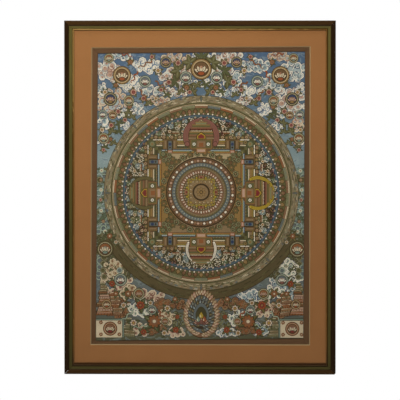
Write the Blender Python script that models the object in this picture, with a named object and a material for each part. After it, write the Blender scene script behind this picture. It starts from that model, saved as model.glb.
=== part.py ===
"""A mandala thangka, painted on cloth, mounted in a glazed and matted wooden frame.

Metres, +Z up. The front faces -Y and the back +Y. The origin is in the middle of the flat
back face of the top rail, the face that hangs against a wall.
"""

import math

import bmesh
import bpy
from mathutils import Matrix, Vector

MM = 0.001

# Outside size of the frame
FRAME_W = 705 * MM
FRAME_H = 919 * MM
DEPTH = 24 * MM

# Space kept between pieces that touch, and what a moulding's end gives up for it at a mitre
GAP = 0.3 * MM
MITRE_CUT = GAP / math.sqrt(2)

# Points closer than this are in one place
SAME_PLACE = 0.001 * MM

# Rail: the dark outer moulding, an L with a wall outside and a lip in front. Its face is
# crowned between two rounded edges, and each round stops short of level.
RAIL_W = 12 * MM
WALL = 8 * MM
LIP_BACK = 15.4 * MM
CROWN_FROM = 2.4 * MM
CROWN_TOP = 6.2 * MM
CROWN_TO = 10 * MM
CROWN_DROP = 0.85 * MM
CROWN_STEPS = 6
OUTER_EDGE_R = 3.2 * MM
OUTER_EDGE_STOP = 115
OUTER_EDGE_DROP = 0.1 * MM
INNER_EDGE_R = 1.0 * MM
INNER_EDGE_START = 75
INNER_EDGE_DROP = 0.3 * MM

# The frame's bottom right corner is worn round: its radius, and the cuts that round it
WORN_CORNER_R = 5 * MM
WORN_CUTS = (-15, -37.5, -52.5, -75)

# Slip: the inner moulding, a green cove and a gilt bead, with a tongue behind the rail's lip
SIGHT = 24.5 * MM
SLIP_BACK = 13.1 * MM
SLIP_FRONT = 19.6 * MM
COVE_LOW = 17.0 * MM
COVE_SAG = 0.7 * MM
COVE_STEPS = 6
COVE_EDGE = 0.6 * MM
GROOVE_OUT = 20.3 * MM
GROOVE_W = 0.9 * MM
GROOVE_FLOOR = 15.7 * MM
BEAD_R = 0.8 * MM
BEAD_STOP = 110
BEAD_TOP = 18.1 * MM
BEAD_RISE = 1.3 * MM

# Sheets in the rabbet: how far each stands in front of the frame's back plane, and its thickness
SHEET_CLEAR = 1 * MM
BOARD_BACK = 3.0 * MM
BOARD_T = 3.0 * MM
CLOTH_T = 1.2 * MM
BORDER_T = 1.5 * MM
MAT_T = 2.4 * MM
GLASS_T = 2.0 * MM

# Mat window at its back edge, and its centre from the frame's centre
WINDOW_W = 564 * MM
WINDOW_H = 771 * MM
WINDOW_X = 0.4 * MM
WINDOW_Z = 3.8 * MM

# Width of brown border that shows at each corner of the window: across, and up or down.
# The painting was cut by hand, so no two are the same.
BORDER_SHOWS = {
    "top_left": (13.0 * MM, 13.5 * MM),
    "top_right": (12.2 * MM, 11.4 * MM),
    "bottom_right": (13.8 * MM, 14.8 * MM),
    "bottom_left": (10.9 * MM, 10.7 * MM),
}
BORDER_TUCK = 10 * MM
BORDER_ROLL = 0.5 * MM

# Half of the top rail's wall stands above the origin
CENTRE = Vector((0, 0, WALL / 2 - FRAME_H / 2))

CLOTH_BACK = BOARD_BACK + BOARD_T + GAP
MAT_BACK = CLOTH_BACK + BORDER_T + GAP
GLASS_BACK = MAT_BACK + MAT_T + GAP

COLOURS = {  # base colour, roughness, metallic
    "dark_wood": ((0.030, 0.014, 0.006), 0.38, 0.0),
    "green_wood": ((0.085, 0.075, 0.028), 0.45, 0.0),
    "clear_glass": ((0.90, 0.95, 0.93), 0.03, 0.0),
    "salmon_board": ((0.39, 0.19, 0.085), 0.90, 0.0),
    "painted_cotton": ((0.22, 0.19, 0.13), 0.85, 0.0),
    "brown_cloth": ((0.12, 0.07, 0.035), 0.90, 0.0),
    "brown_board": ((0.33, 0.22, 0.13), 0.95, 0.0),
}


def material(name):
    found = bpy.data.materials.get(name)
    if found:
        return found
    colour, roughness, metallic = COLOURS[name]
    made = bpy.data.materials.new(name)
    made.use_nodes = True
    shader = made.node_tree.nodes["Principled BSDF"]
    shader.inputs["Base Color"].default_value = (*colour, 1)
    shader.inputs["Roughness"].default_value = roughness
    shader.inputs["Metallic"].default_value = metallic
    return made


def finish(name, bm, finish_name, smooth=True, turn=0.0):
    """Turns a bmesh into a named object at the frame's centre, turned about Y by turn."""
    bmesh.ops.recalc_face_normals(bm, faces=bm.faces)
    mesh = bpy.data.meshes.new(name)
    bm.to_mesh(mesh)
    bm.free()
    if smooth:
        mesh.shade_smooth()
        mesh.set_sharp_from_angle(angle=math.radians(35))
    mesh.materials.append(material(finish_name))
    made = bpy.data.objects.new(name, mesh)
    made.location = CENTRE
    made.rotation_euler = (0, turn, 0)
    bpy.context.scene.collection.objects.link(made)
    return made


def arc(centre, radius, start, stop, steps):
    """Points on an arc, from one angle in degrees to another."""
    angles = [math.radians(start + (stop - start) * i / steps) for i in range(steps + 1)]
    return [(centre[0] + radius * math.cos(a), centre[1] + radius * math.sin(a)) for a in angles]


def rail_profile():
    """The rail's section: distance in from the frame's outer edge, and forward from its back."""
    crown = []
    for i in range(CROWN_STEPS + 1):
        u = CROWN_FROM + (CROWN_TO - CROWN_FROM) * i / CROWN_STEPS
        away = (u - CROWN_TOP) / (CROWN_TO - CROWN_TOP)
        crown.append((u, DEPTH - CROWN_DROP * away**2))
    outer_v = crown[0][1] + OUTER_EDGE_DROP - OUTER_EDGE_R
    inner_v = crown[-1][1] - INNER_EDGE_DROP - INNER_EDGE_R
    outer = arc((OUTER_EDGE_R, outer_v), OUTER_EDGE_R, 180, OUTER_EDGE_STOP, 5)
    inner = arc((RAIL_W - INNER_EDGE_R, inner_v), INNER_EDGE_R, INNER_EDGE_START, 0, 4)
    return [(0, 0), *outer, *crown, *inner, (RAIL_W, LIP_BACK), (WALL, LIP_BACK), (WALL, 0)]


def slip_profile():
    """The slip's section, from its tongue round its back, bead, groove and cove."""
    tongue_u = WALL + GAP
    face_u = RAIL_W + GAP
    tongue_v = LIP_BACK - GAP
    bead = arc((SIGHT - BEAD_R, BEAD_TOP - BEAD_R), BEAD_R, 0, BEAD_STOP, 6)
    groove_in = GROOVE_OUT + GROOVE_W
    cove = []
    for i in range(COVE_STEPS + 1):
        t = i / COVE_STEPS
        u = GROOVE_OUT + (face_u + COVE_EDGE - GROOVE_OUT) * t
        straight = COVE_LOW + (SLIP_FRONT - COVE_LOW) * t
        cove.append((u, straight - COVE_SAG * 4 * t * (1 - t)))
    return [
        (tongue_u, SLIP_BACK),
        (SIGHT, SLIP_BACK),
        *bead,
        (groove_in, BEAD_TOP - BEAD_RISE),
        (groove_in, GROOVE_FLOOR),
        (GROOVE_OUT, GROOVE_FLOOR),
        *cove,
        (face_u, SLIP_FRONT - COVE_EDGE),
        (face_u, tongue_v),
        (tongue_u, tongue_v),
    ]


def mitred(profile, length, reach):
    """A moulding of the profile along X, mitred at both ends, its outer edge at z = reach."""
    bm = bmesh.new()
    ring = [bm.verts.new((u + MITRE_CUT - length / 2, -v, reach - u)) for u, v in profile]
    face = bm.faces.new(ring)
    grown = bmesh.ops.extrude_face_region(bm, geom=[face])["geom"]
    for vert in grown:
        if isinstance(vert, bmesh.types.BMVert):
            vert.co.x = -vert.co.x
    return bm


def wear_corner(bm, turn):
    """Rounds off what the moulding has of the frame's bottom right corner, in the wall plane."""
    to_local = Matrix.Rotation(-turn, 3, "Y")
    middle = Vector((FRAME_W / 2 - WORN_CORNER_R, 0, -FRAME_H / 2 + WORN_CORNER_R))
    for degrees in WORN_CUTS:
        a = math.radians(degrees)
        normal = Vector((math.cos(a), 0, math.sin(a)))
        everything = list(bm.verts) + list(bm.edges) + list(bm.faces)
        bmesh.ops.bisect_plane(
            bm,
            geom=everything,
            plane_co=to_local @ (middle + normal * WORN_CORNER_R),
            plane_no=to_local @ normal,
            clear_outer=True,
            dist=SAME_PLACE,
        )
        rim = [e for e in bm.edges if e.is_boundary]
        if rim:
            bmesh.ops.holes_fill(bm, edges=rim, sides=0)


SIDES = {  # turn about Y, length along the side, reach from the centre to the outer edge
    "top": (0.0, FRAME_W, FRAME_H / 2),
    "right": (math.radians(90), FRAME_H, FRAME_W / 2),
    "bottom": (math.radians(180), FRAME_W, FRAME_H / 2),
    "left": (math.radians(-90), FRAME_H, FRAME_W / 2),
}


def mouldings():
    for side, (turn, length, reach) in SIDES.items():
        rail = mitred(rail_profile(), length, reach)
        if side in ("bottom", "right"):
            wear_corner(rail, turn)
        finish("rail_" + side, rail, "dark_wood", turn=turn)
        finish("slip_" + side, mitred(slip_profile(), length, reach), "green_wood", turn=turn)


def slab(outline, back, thickness):
    """A flat sheet: an outline of (x, z) points, its back face this far before the back plane."""
    bm = bmesh.new()
    face = bm.faces.new([bm.verts.new((x, -back, z)) for x, z in outline])
    grown = bmesh.ops.extrude_face_region(bm, geom=[face])["geom"]
    moved = [g for g in grown if isinstance(g, bmesh.types.BMVert)]
    bmesh.ops.translate(bm, verts=moved, vec=(0, -thickness, 0))
    return bm


def rectangle(width, height, x=0.0, z=0.0):
    half_w, half_h = width / 2, height / 2
    corners = ((-half_w, half_h), (half_w, half_h), (half_w, -half_h), (-half_w, -half_h))
    return [(x + cx, z + cz) for cx, cz in corners]


def rabbet_outline():
    """The outline of a sheet that fills the rabbet."""
    return rectangle(FRAME_W - 2 * (WALL + SHEET_CLEAR), FRAME_H - 2 * (WALL + SHEET_CLEAR))


def rabbet_sheets():
    """The glass and the backing board, each a plain sheet that fills the rabbet."""
    outline = rabbet_outline()
    finish("glass_pane", slab(outline, GLASS_BACK, GLASS_T), "clear_glass", smooth=False)
    finish("backing_board", slab(outline, BOARD_BACK, BOARD_T), "brown_board", smooth=False)


def mat_board():
    """One board with a window, whose edge slopes out towards the front at 45 degrees."""
    outer = rabbet_outline()
    window_front = rectangle(WINDOW_W + 2 * MAT_T, WINDOW_H + 2 * MAT_T, WINDOW_X, WINDOW_Z)
    window_back = rectangle(WINDOW_W, WINDOW_H, WINDOW_X, WINDOW_Z)
    back, front = -MAT_BACK, -(MAT_BACK + MAT_T)
    bm = bmesh.new()
    loops = []
    for y, ring in ((back, outer), (front, outer), (front, window_front), (back, window_back)):
        loops.append([bm.verts.new((x, y, z)) for x, z in ring])
    for here, there in zip(loops, loops[1:] + loops[:1]):
        for i in range(4):
            j = (i + 1) % 4
            bm.faces.new((here[i], here[j], there[j], there[i]))
    finish("mat_board", bm, "salmon_board", smooth=False)


def painting_corners():
    """The four corners of the painted cloth, in order round from the top left."""
    window = rectangle(WINDOW_W, WINDOW_H, WINDOW_X, WINDOW_Z)
    names = ("top_left", "top_right", "bottom_right", "bottom_left")
    corners = []
    for name, (x, z) in zip(names, window):
        across, along = BORDER_SHOWS[name]
        inwards_x = 1 if "left" in name else -1
        inwards_z = -1 if "top" in name else 1
        corners.append(Vector((x + inwards_x * across, z + inwards_z * along)))
    return corners


def shrunk(corners, amount):
    """The same four-sided outline with every side moved in by an amount."""
    moved = []
    for i, here in enumerate(corners):
        before, after = corners[i - 1], corners[(i + 1) % 4]
        along_in, along_out = (here - before).normalized(), (after - here).normalized()
        first = Vector((along_in.y, -along_in.x))
        second = Vector((along_out.y, -along_out.x))
        inward = (first + second).normalized()
        moved.append(here + inward * amount / inward.dot(first))
    return moved


def painting():
    """The painted cloth and the four strips sewn round it, mitred where they meet."""
    inner = painting_corners()
    cloth = [tuple(p) for p in shrunk(inner, GAP / 2)]
    finish("painted_cloth", slab(cloth, CLOTH_BACK, CLOTH_T), "painted_cotton", smooth=False)
    tucked = (WINDOW_W + 2 * BORDER_TUCK, WINDOW_H + 2 * BORDER_TUCK)
    outer = [Vector(p) for p in rectangle(*tucked, WINDOW_X, WINDOW_Z)]
    for i, side in enumerate(("top", "right", "bottom", "left")):
        j = (i + 1) % 4
        strip = shrunk([outer[i], outer[j], inner[j], inner[i]], GAP / 2)
        bm = slab([tuple(p) for p in strip], CLOTH_BACK, BORDER_T)
        front = -(CLOTH_BACK + BORDER_T)
        rolled = [e for e in bm.edges if all(abs(v.co.y - front) < SAME_PLACE for v in e.verts)]
        bmesh.ops.bevel(
            bm,
            geom=rolled,
            offset=BORDER_ROLL,
            offset_type="OFFSET",
            affect="EDGES",
            segments=2,
            profile=0.5,
            material=-1,
        )
        finish("border_" + side, bm, "brown_cloth")


def main():
    for old in list(bpy.data.objects):
        bpy.data.objects.remove(old, do_unlink=True)
    mouldings()
    rabbet_sheets()
    mat_board()
    painting()


main()
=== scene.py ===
"""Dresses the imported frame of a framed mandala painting: mouldings, glass, mat, cloth and paint.

The script is laid out as a Blender add-on and is run as a script. Sizes are in metres, apart from
the painting's own, which are in millimetres. The front looks along -Y, the back plane is y = 0,
and +Z is up.
"""

import math
import random

import bmesh
import bpy
import numpy as np
from mathutils import Matrix, Vector


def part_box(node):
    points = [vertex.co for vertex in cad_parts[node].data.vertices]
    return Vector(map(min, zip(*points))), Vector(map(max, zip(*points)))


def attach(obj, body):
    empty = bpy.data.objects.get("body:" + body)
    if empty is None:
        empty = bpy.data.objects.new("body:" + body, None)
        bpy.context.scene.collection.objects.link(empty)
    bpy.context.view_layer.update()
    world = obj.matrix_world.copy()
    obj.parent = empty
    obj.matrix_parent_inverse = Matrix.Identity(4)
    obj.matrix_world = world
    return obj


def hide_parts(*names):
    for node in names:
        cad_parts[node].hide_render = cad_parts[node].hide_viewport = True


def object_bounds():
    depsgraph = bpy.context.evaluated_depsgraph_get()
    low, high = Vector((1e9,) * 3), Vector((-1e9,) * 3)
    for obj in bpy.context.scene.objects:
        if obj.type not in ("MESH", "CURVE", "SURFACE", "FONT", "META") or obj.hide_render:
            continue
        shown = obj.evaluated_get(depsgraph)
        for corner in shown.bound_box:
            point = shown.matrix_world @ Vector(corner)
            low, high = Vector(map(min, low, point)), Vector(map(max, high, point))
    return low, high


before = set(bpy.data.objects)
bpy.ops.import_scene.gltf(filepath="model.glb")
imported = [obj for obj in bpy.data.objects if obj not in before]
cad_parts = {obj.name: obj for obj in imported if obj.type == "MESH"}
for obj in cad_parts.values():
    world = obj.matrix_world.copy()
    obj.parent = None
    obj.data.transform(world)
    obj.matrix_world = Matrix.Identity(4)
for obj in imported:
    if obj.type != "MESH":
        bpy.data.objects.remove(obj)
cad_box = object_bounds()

bl_info = {
    "name": "Framed mandala painting",
    "version": (1, 0, 0),
    "blender": (4, 5, 0),
    "location": "3D View > Sidebar > Painting",
    "description": "Builds the looks of a matted and glazed mandala painting round its packed frame",
    "category": "Object",
}

MM = 0.001

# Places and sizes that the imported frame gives
LOW, HIGH = cad_box
MIDDLE = Vector(((LOW.x + HIGH.x) / 2, 0.0, (LOW.z + HIGH.z) / 2))
FRAME_WIDTH = HIGH.x - LOW.x
FRAME_HEIGHT = HIGH.z - LOW.z
RAIL_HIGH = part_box("rail_left")[1]
SLIP_LOW, SLIP_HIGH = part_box("slip_left")
CLOTH_LOW, CLOTH_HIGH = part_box("painted_cloth")
STRIP_LOW, STRIP_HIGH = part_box("border_left")
MAT_LOW, MAT_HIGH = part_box("mat_board")
RAIL_WIDTH = RAIL_HIGH.x - LOW.x
SIGHT = SLIP_HIGH.x - LOW.x
MITRE_CUT = 0.3 * MM / math.sqrt(2)

# The sections of the two mouldings: distance in from the outer edge, height over the back plane,
# and the size and segments of the round worked on that corner
RAIL_CORNERS = (
    (0.0, 0.0, 0.4 * MM, 2),
    (0.0, 23.9 * MM, 3.0 * MM, 8),
    (6.2 * MM, 24.0 * MM, 3.0 * MM, 6),
    (RAIL_WIDTH, 22.9 * MM, 1.0 * MM, 5),
    (RAIL_WIDTH, 15.4 * MM, 0.3 * MM, 2),
    (8.0 * MM, 15.4 * MM, 0.0, 1),
    (8.0 * MM, 0.0, 0.4 * MM, 2),
)
GROOVE_OUT = 20.3 * MM
GROOVE_IN = 21.2 * MM
GROOVE_FLOOR = 15.7 * MM
SLIP_CORNERS = (
    (8.3 * MM, -SLIP_HIGH.y, 0.0, 1),
    (SIGHT, -SLIP_HIGH.y, 0.3 * MM, 2),
    (SIGHT, 18.1 * MM, 0.85 * MM, 6),
    (22.5 * MM, 18.1 * MM, 0.8 * MM, 5),
    (GROOVE_IN, 16.8 * MM, 0.2 * MM, 2),
    (GROOVE_IN, GROOVE_FLOOR, 0.15 * MM, 2),
    (GROOVE_OUT, GROOVE_FLOOR, 0.15 * MM, 2),
    (GROOVE_OUT, 17.0 * MM, 0.3 * MM, 3),
    (16.8 * MM, 17.5 * MM, 2.6 * MM, 8),
    (12.9 * MM, -SLIP_LOW.y, 0.35 * MM, 3),
    (12.3 * MM, 19.0 * MM, 0.2 * MM, 2),
    (12.3 * MM, 15.1 * MM, 0.0, 1),
    (8.3 * MM, 15.1 * MM, 0.0, 1),
)
WORN_RADIUS = 5 * MM
WORN_STEPS = 7

# The mat's window at its back edge, from the frame's middle, and the strips that show inside it
MAT_THICK = MAT_HIGH.y - MAT_LOW.y
WINDOW = (
    (-280.1 * MM, 387.4 * MM),
    (284.7 * MM, 390.4 * MM),
    (283.7 * MM, -382.0 * MM),
    (-283.2 * MM, -381.8 * MM),
)
PAINTING_CORNERS = (
    (-266.0 * MM, 374.3 * MM),
    (273.0 * MM, 379.3 * MM),
    (268.9 * MM, -366.8 * MM),
    (-271.6 * MM, -374.0 * MM),
)
STRIP_TUCK = 10 * MM
SEAM = 0.15 * MM
STITCH_SHARE = 0.62

# The painting's own millimetres: from the wheel's centre, with the face towards +Z
WHEEL_UP = 8.0
WHEEL_RIGHT = 3.3
CORE_UP = 2.2
FENCE_BLOCKS = 42
WHOLE_RING_STEPS = 140
TRIM_SPARE = 0.3
LINE_WIDTH = 1.4
LAYER = 0.016
SUNK = 0.8


def painting_to_world():
    """Turns the painting's millimetres into places on the face of the cloth."""
    centre = Vector(((CLOTH_LOW.x + CLOTH_HIGH.x) / 2, CLOTH_LOW.y, (CLOTH_LOW.z + CLOTH_HIGH.z) / 2))
    centre += Vector((WHEEL_RIGHT * MM, 0, WHEEL_UP * MM))
    return Matrix.Translation(centre) @ Matrix.Rotation(math.pi / 2, 4, "X") @ Matrix.Scale(MM, 4)


ON_CLOTH = painting_to_world()
EDGE_X = 268.6
EDGE_TOP = 369.5
EDGE_FOOT = -373.5


def as_mesh(bm, name):
    """Ends a bmesh as a mesh."""
    mesh = bpy.data.meshes.new(name)
    bm.to_mesh(mesh)
    bm.free()
    return mesh


def add_object(name, data):
    """Puts an object in the scene."""
    made = bpy.data.objects.new(name, data)
    bpy.context.scene.collection.objects.link(made)
    return made


def add_copy(bm, mesh, place):
    """Adds a copy of a mesh, moved by a matrix."""
    copy = mesh.copy()
    copy.transform(place)
    bm.from_mesh(copy)
    bpy.data.meshes.remove(copy)


def raised_points(bm, faces):
    """Extrudes faces, and gives the points of the new ones."""
    grown = bmesh.ops.extrude_face_region(bm, geom=faces)["geom"]
    return [g for g in grown if isinstance(g, bmesh.types.BMVert)]


def round_edges(bm, edges, size, segments):
    """Works a round of this size on edges."""
    ways = {"offset_type": "OFFSET", "affect": "EDGES", "profile": 0.5, "material": -1}
    bmesh.ops.bevel(bm, geom=edges, offset=size, segments=segments, **ways)


def cut_off(bm, place, outward, near):
    """Cuts away what lies past a plane, and closes the cut; near is how close counts as on it."""
    everything = bm.verts[:] + bm.edges[:] + bm.faces[:]
    plane = {"plane_co": place, "plane_no": outward}
    bmesh.ops.bisect_plane(bm, geom=everything, clear_outer=True, dist=near, **plane)
    rim = [e for e in bm.edges if e.is_boundary]
    if rim:
        bmesh.ops.holes_fill(bm, edges=rim, sides=0)


def feed(tree, slot, value):
    """Gives a socket a link, or else a constant."""
    if isinstance(value, Value):
        tree.links.new(value.socket, slot)
    else:
        slot.default_value = value


class Value:
    """A socket's output, so that shader maths is written as Python expressions."""

    def __init__(self, tree, socket):
        self.tree = tree
        self.socket = socket

    def maths(self, operation, *values):
        node = self.tree.nodes.new("ShaderNodeMath")
        node.operation = operation
        for slot, value in zip(node.inputs, values):
            feed(self.tree, slot, value)
        return Value(self.tree, node.outputs[0])

    def __add__(self, other):
        return self.maths("ADD", self, other)

    __radd__ = __add__

    def __sub__(self, other):
        return self.maths("SUBTRACT", self, other)

    def __rsub__(self, other):
        return self.maths("SUBTRACT", other, self)

    def __mul__(self, other):
        return self.maths("MULTIPLY", self, other)

    __rmul__ = __mul__

    def sine(self):
        return self.maths("SINE", self)

    def size(self):
        return self.maths("ABSOLUTE", self)

    def at_least(self, other):
        return self.maths("MAXIMUM", self, other)

    def at_most(self, other):
        return self.maths("MINIMUM", self, other)

    def clipped(self):
        return self.at_least(0.0).at_most(1.0)


def add_node(tree, kind, settings=None, inputs=None, output=0):
    """Adds any node: its type, its settings, then the values or links of its sockets."""
    node = tree.nodes.new(kind)
    for name, value in (settings or {}).items():
        setattr(node, name, value)
    for name, value in (inputs or {}).items():
        feed(tree, node.inputs[name], value)
    return Value(tree, node.outputs[output])


class Finish:
    """A material in the making: one Principled shader and the nodes that feed it."""

    def __init__(self, name, roughness=0.8, **constants):
        self.material = bpy.data.materials.new(name)
        self.material.use_nodes = True
        self.tree = self.material.node_tree
        self.shader = self.tree.nodes["Principled BSDF"]
        self.shader.inputs["Roughness"].default_value = roughness
        for name, value in constants.items():
            self.shader.inputs[name.replace("_", " ")].default_value = value

    def node(self, kind, settings=None, inputs=None, output=0):
        return add_node(self.tree, kind, settings, inputs, output)

    def place(self, stretch=(1, 1, 1)):
        """The piece's own coordinates, in metres, with the axes stretched."""
        own = self.node("ShaderNodeTexCoord", output="Object")
        return self.node("ShaderNodeMapping", inputs={"Vector": own, "Scale": stretch})

    def across(self, axis):
        """One of the coordinates, as a number."""
        return self.node("ShaderNodeSeparateXYZ", inputs={"Vector": self.place()}, output=axis)

    def noise(self, scale, detail=3.0, rough=0.55, warp=0.0, stretch=(1, 1, 1)):
        """Soft random patches; a larger scale makes them smaller."""
        inputs = {"Vector": self.place(stretch), "Scale": scale, "Detail": detail}
        inputs.update({"Roughness": rough, "Distortion": warp})
        return self.node("ShaderNodeTexNoise", inputs=inputs, output="Fac")

    def weave(self, pitch):
        """The relief of a plain weave in the wall's plane, its pitch in metres."""
        turns = 2 * math.pi / pitch
        return (self.across("X") * turns).sine() * (self.across("Z") * turns).sine()

    def between(self, value, low, high):
        """Rises from 0 to 1 as the value goes from low to high."""
        inputs = {"Value": value, "From Min": low, "From Max": high}
        return self.node("ShaderNodeMapRange", inputs=inputs)

    def mix(self, share, first, second, blend="MIX"):
        """A colour between two, by a share from 0 to 1."""
        settings = {"data_type": "RGBA", "blend_type": blend}
        inputs = {0: share, 6: first, 7: second}
        for slot in (6, 7):
            if not isinstance(inputs[slot], Value):
                inputs[slot] = (*inputs[slot], 1.0)
        return self.node("ShaderNodeMix", settings, inputs, 2)

    def colours(self, value, *stops):
        """A colour by a value from 0 to 1, blended between stops."""
        ramp = self.node("ShaderNodeValToRGB", inputs={0: value})
        elements = ramp.socket.node.color_ramp.elements
        while len(elements) < len(stops):
            elements.new(1.0)
        for element, (place, colour) in zip(elements, stops):
            element.position = place
            element.color = (*colour, 1.0)
        return ramp

    def link(self, name, value):
        feed(self.tree, self.shader.inputs[name], value)

    def done(self, colour, height, strength, depth):
        """Ends the material with its colour and its relief, whose depth is in metres."""
        self.link("Base Color", colour)
        inputs = {"Height": height, "Strength": strength, "Distance": depth}
        self.link("Normal", self.node("ShaderNodeBump", inputs=inputs))
        return self.material


def scaled(colour, share):
    return tuple(channel * share for channel in colour)


def grain(along, length):
    """How noise is stretched along X or Z, for the run of a moulding."""
    return (length, 60.0, 60.0) if along == "X" else (60.0, 60.0, length)


def wood(name, colour, along, roughness, foot=1.0):
    """Stained and rubbed wood, its grain along X or Z, worn paler where the edges were handled.

    Foot is the share of its colour that is left at the foot of the frame: a painted shade, darker towards
    the bottom.
    """
    finish = Finish(name, roughness, Coat_Weight=0.05, Coat_Roughness=0.35, Specular_IOR_Level=0.16)
    streaks = finish.noise(6.0, 6.0, 0.62, 0.35, grain(along, 3.0))
    patches = finish.noise(9.0)
    pores = finish.noise(9.0, 2.0, 0.7, stretch=scaled(grain(along, 3.0), 4.0))
    grained = finish.mix(streaks, scaled(colour, 0.55), scaled(colour, 1.55))
    toned = finish.mix((patches * 0.6).clipped(), grained, scaled(colour, 0.7))
    # Painted shade: the colour darkens towards the foot of the frame, down to the share given as foot
    height = finish.between(finish.across("Z"), LOW.z, HIGH.z)
    foot_shade_factor = finish.mix(height, (foot, foot, foot), (1.0, 1.0, 1.0))
    toned = finish.mix(1.0, toned, foot_shade_factor, "MULTIPLY")
    edge = finish.node("ShaderNodeAttribute", {"attribute_name": "edge"}, output="Fac")
    rubbed = finish.between(edge * patches, 0.42, 0.62) * 0.55
    nicks = finish.between(finish.noise(2.2, 2.0, stretch=(90, 90, 90)), 0.66, 0.74) * edge
    worn = finish.mix(rubbed.at_least(nicks * 0.8), toned, BARE_WOOD)
    finish.link("Roughness", (roughness - 0.1) + streaks * 0.2 + rubbed * 0.15)
    return finish.done(worn, streaks + pores * 0.5, 0.35, 0.0004)


def gilt(name, along):
    """Old bronze paint over red clay, rubbed through in places, with a painted shade at the foot and a
    painted highlight towards the top left.
    """
    finish = Finish(name, 0.42)
    rubs = finish.noise(7.0, 4.0, 0.6, stretch=grain(along, 8.0))
    # Painted highlight: less is rubbed through towards the top left, where the light comes from, so the
    # bronze is brighter there
    slanted = finish.across("Z") - finish.across("X") * 0.4
    top_left_highlight = finish.between(slanted, LOW.z + 0.75, LOW.z + 0.95)
    bare = finish.between(rubs + (0.5 - top_left_highlight) * 0.5, 0.45, 0.66)
    rubbed = finish.mix(bare, BRONZE, RED_CLAY)
    # Painted shade: along the foot of the frame the bead is darker and less metallic
    foot_shade_factor = finish.between(finish.across("Z"), LOW.z + 0.026, LOW.z + 0.08)
    finish.link("Metallic", 0.05 + foot_shade_factor * 0.35 - foot_shade_factor * bare * 0.35)
    finish.link("Roughness", 0.40 + bare * 0.3)
    return finish.done(finish.mix(foot_shade_factor, BEAD_FOOT_SHADE, rubbed), rubs, 0.3, 0.0003)


def salmon_paper():
    """The mat's face: paper fibre, faint blotches, and a painted shadow along the slips, widest at the
    foot.
    """
    finish = Finish("salmon_paper", 0.88)
    fibre = finish.noise(900.0, 3.0, 0.7, stretch=(1, 1, 2.2))
    blotch = finish.noise(11.0, 4.0, 0.5, 0.6)
    spots = finish.between(finish.noise(75.0, 2.0), 0.66, 0.78) * 0.16
    speckled = finish.mix(fibre * 0.25, finish.mix(blotch, *MAT_COLOUR), scaled(MAT_COLOUR[0], 0.75))
    stained = finish.mix(spots, speckled, (0.20, 0.10, 0.05))
    # Painted shadow: a dark band along the slips' sight edges, wider along the foot
    x, z = finish.across("X"), finish.across("Z")
    beside = (x - (LOW.x + SIGHT)).at_most((HIGH.x - SIGHT) - x).at_most((HIGH.z - SIGHT) - z)
    slip_shadow = 0.42 - finish.between(beside, 0.5 * MM, 3.2 * MM) * 0.42
    foot = 0.94 - finish.between(z - (LOW.z + SIGHT), 3.2 * MM, 7.0 * MM) * 0.94
    shadowed_paper = finish.mix(slip_shadow.at_least(foot), stained, MAT_SHADOW)
    return finish.done(shadowed_paper, fibre, 0.25, 0.00015)


def cream_core():
    """The mat's cut edge, where its cream core shows."""
    finish = Finish("cream_core", 0.9)
    plies = (finish.across("Y") * 9000.0).sine()
    fibre = finish.noise(700.0)
    cream = finish.mix(fibre, (0.320, 0.208, 0.100), (0.425, 0.285, 0.145))
    return finish.done(cream, plies * 0.3 + fibre, 0.3, 0.0001)


def strip_cloth():
    """Brown cotton with a plain weave, a little faded in patches."""
    finish = Finish("strip_cotton", 0.92, Specular_IOR_Level=0.2)
    weave = finish.weave(0.0011)
    slubs = finish.noise(260.0, 3.0, 0.6, stretch=(1, 1, 5))
    faded = finish.mix(finish.noise(14.0), *STRIP_COLOUR)
    shade = (slubs * 0.55 + weave * 0.2).clipped()
    return finish.done(finish.mix(shade, scaled(STRIP_COLOUR[0], 0.7), faded), weave + slubs, 0.5, 0.0003)


def sewing_thread():
    """Twisted dark thread."""
    finish = Finish("sewing_thread", 0.7)
    twist = (finish.across("X") * 5000.0 + finish.across("Z") * 5000.0).sine()
    brown = finish.mix(twist * 0.5 + 0.5, (0.05, 0.028, 0.014), (0.13, 0.075, 0.04))
    return finish.done(brown, twist, 0.4, 0.0001)


def pressed_board():
    """The backing's hardboard: brown fibre, darker where damp has reached it."""
    finish = Finish("pressed_board", 0.93)
    fibre = finish.noise(320.0, 5.0, 0.7)
    damp = finish.between(finish.noise(5.0, 4.0, 0.55, 0.5), 0.45, 0.75) * 0.5
    base = finish.mix(fibre, (0.19, 0.115, 0.06), (0.33, 0.22, 0.125))
    damped = finish.mix(damp, base, (0.13, 0.08, 0.045))
    return finish.done(damped, finish.weave(0.0021) * 0.6 + fibre, 0.5, 0.0005)


def picture_glass():
    """Clear glass: light goes straight through it, and its front mirrors more at low angles."""
    finish = Finish("picture_glass", 0.03)
    clear = finish.node("ShaderNodeBsdfTransparent", inputs={"Color": (0.918, 0.932, 0.924, 1.0)})
    gloss = {"Roughness": 0.02, "Color": (0.9, 0.9, 0.9, 1.0)}
    mirror = finish.node("ShaderNodeBsdfGlossy", inputs=gloss)
    front = 1 - finish.node("ShaderNodeNewGeometry", output="Backfacing")
    fresnel = finish.node("ShaderNodeFresnel", inputs={"IOR": 1.45}) * front
    smears = finish.noise(7.0, stretch=(1, 1, 2))
    inputs = {"Fac": fresnel * (0.9 + smears * 0.2), 1: clear, 2: mirror}
    mixed = finish.node("ShaderNodeMixShader", inputs=inputs)
    nodes = finish.tree.nodes
    nodes.remove(finish.shader)
    feed(finish.tree, nodes["Material Output"].inputs["Surface"], mixed)
    return finish.material


MAT_COLOUR = ((0.323, 0.133, 0.044), (0.372, 0.157, 0.054))
STRIP_COLOUR = ((0.165, 0.082, 0.039), (0.226, 0.113, 0.055))

BARE_WOOD = (0.15, 0.085, 0.04)
BRONZE = (0.33, 0.198, 0.052)
RED_CLAY = (0.108, 0.046, 0.004)
BEAD_FOOT_SHADE = (0.042, 0.019, 0.003)
MAT_SHADOW = (0.034, 0.011, 0.001)
BARE_COTTON = (0.27, 0.21, 0.13)

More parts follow.
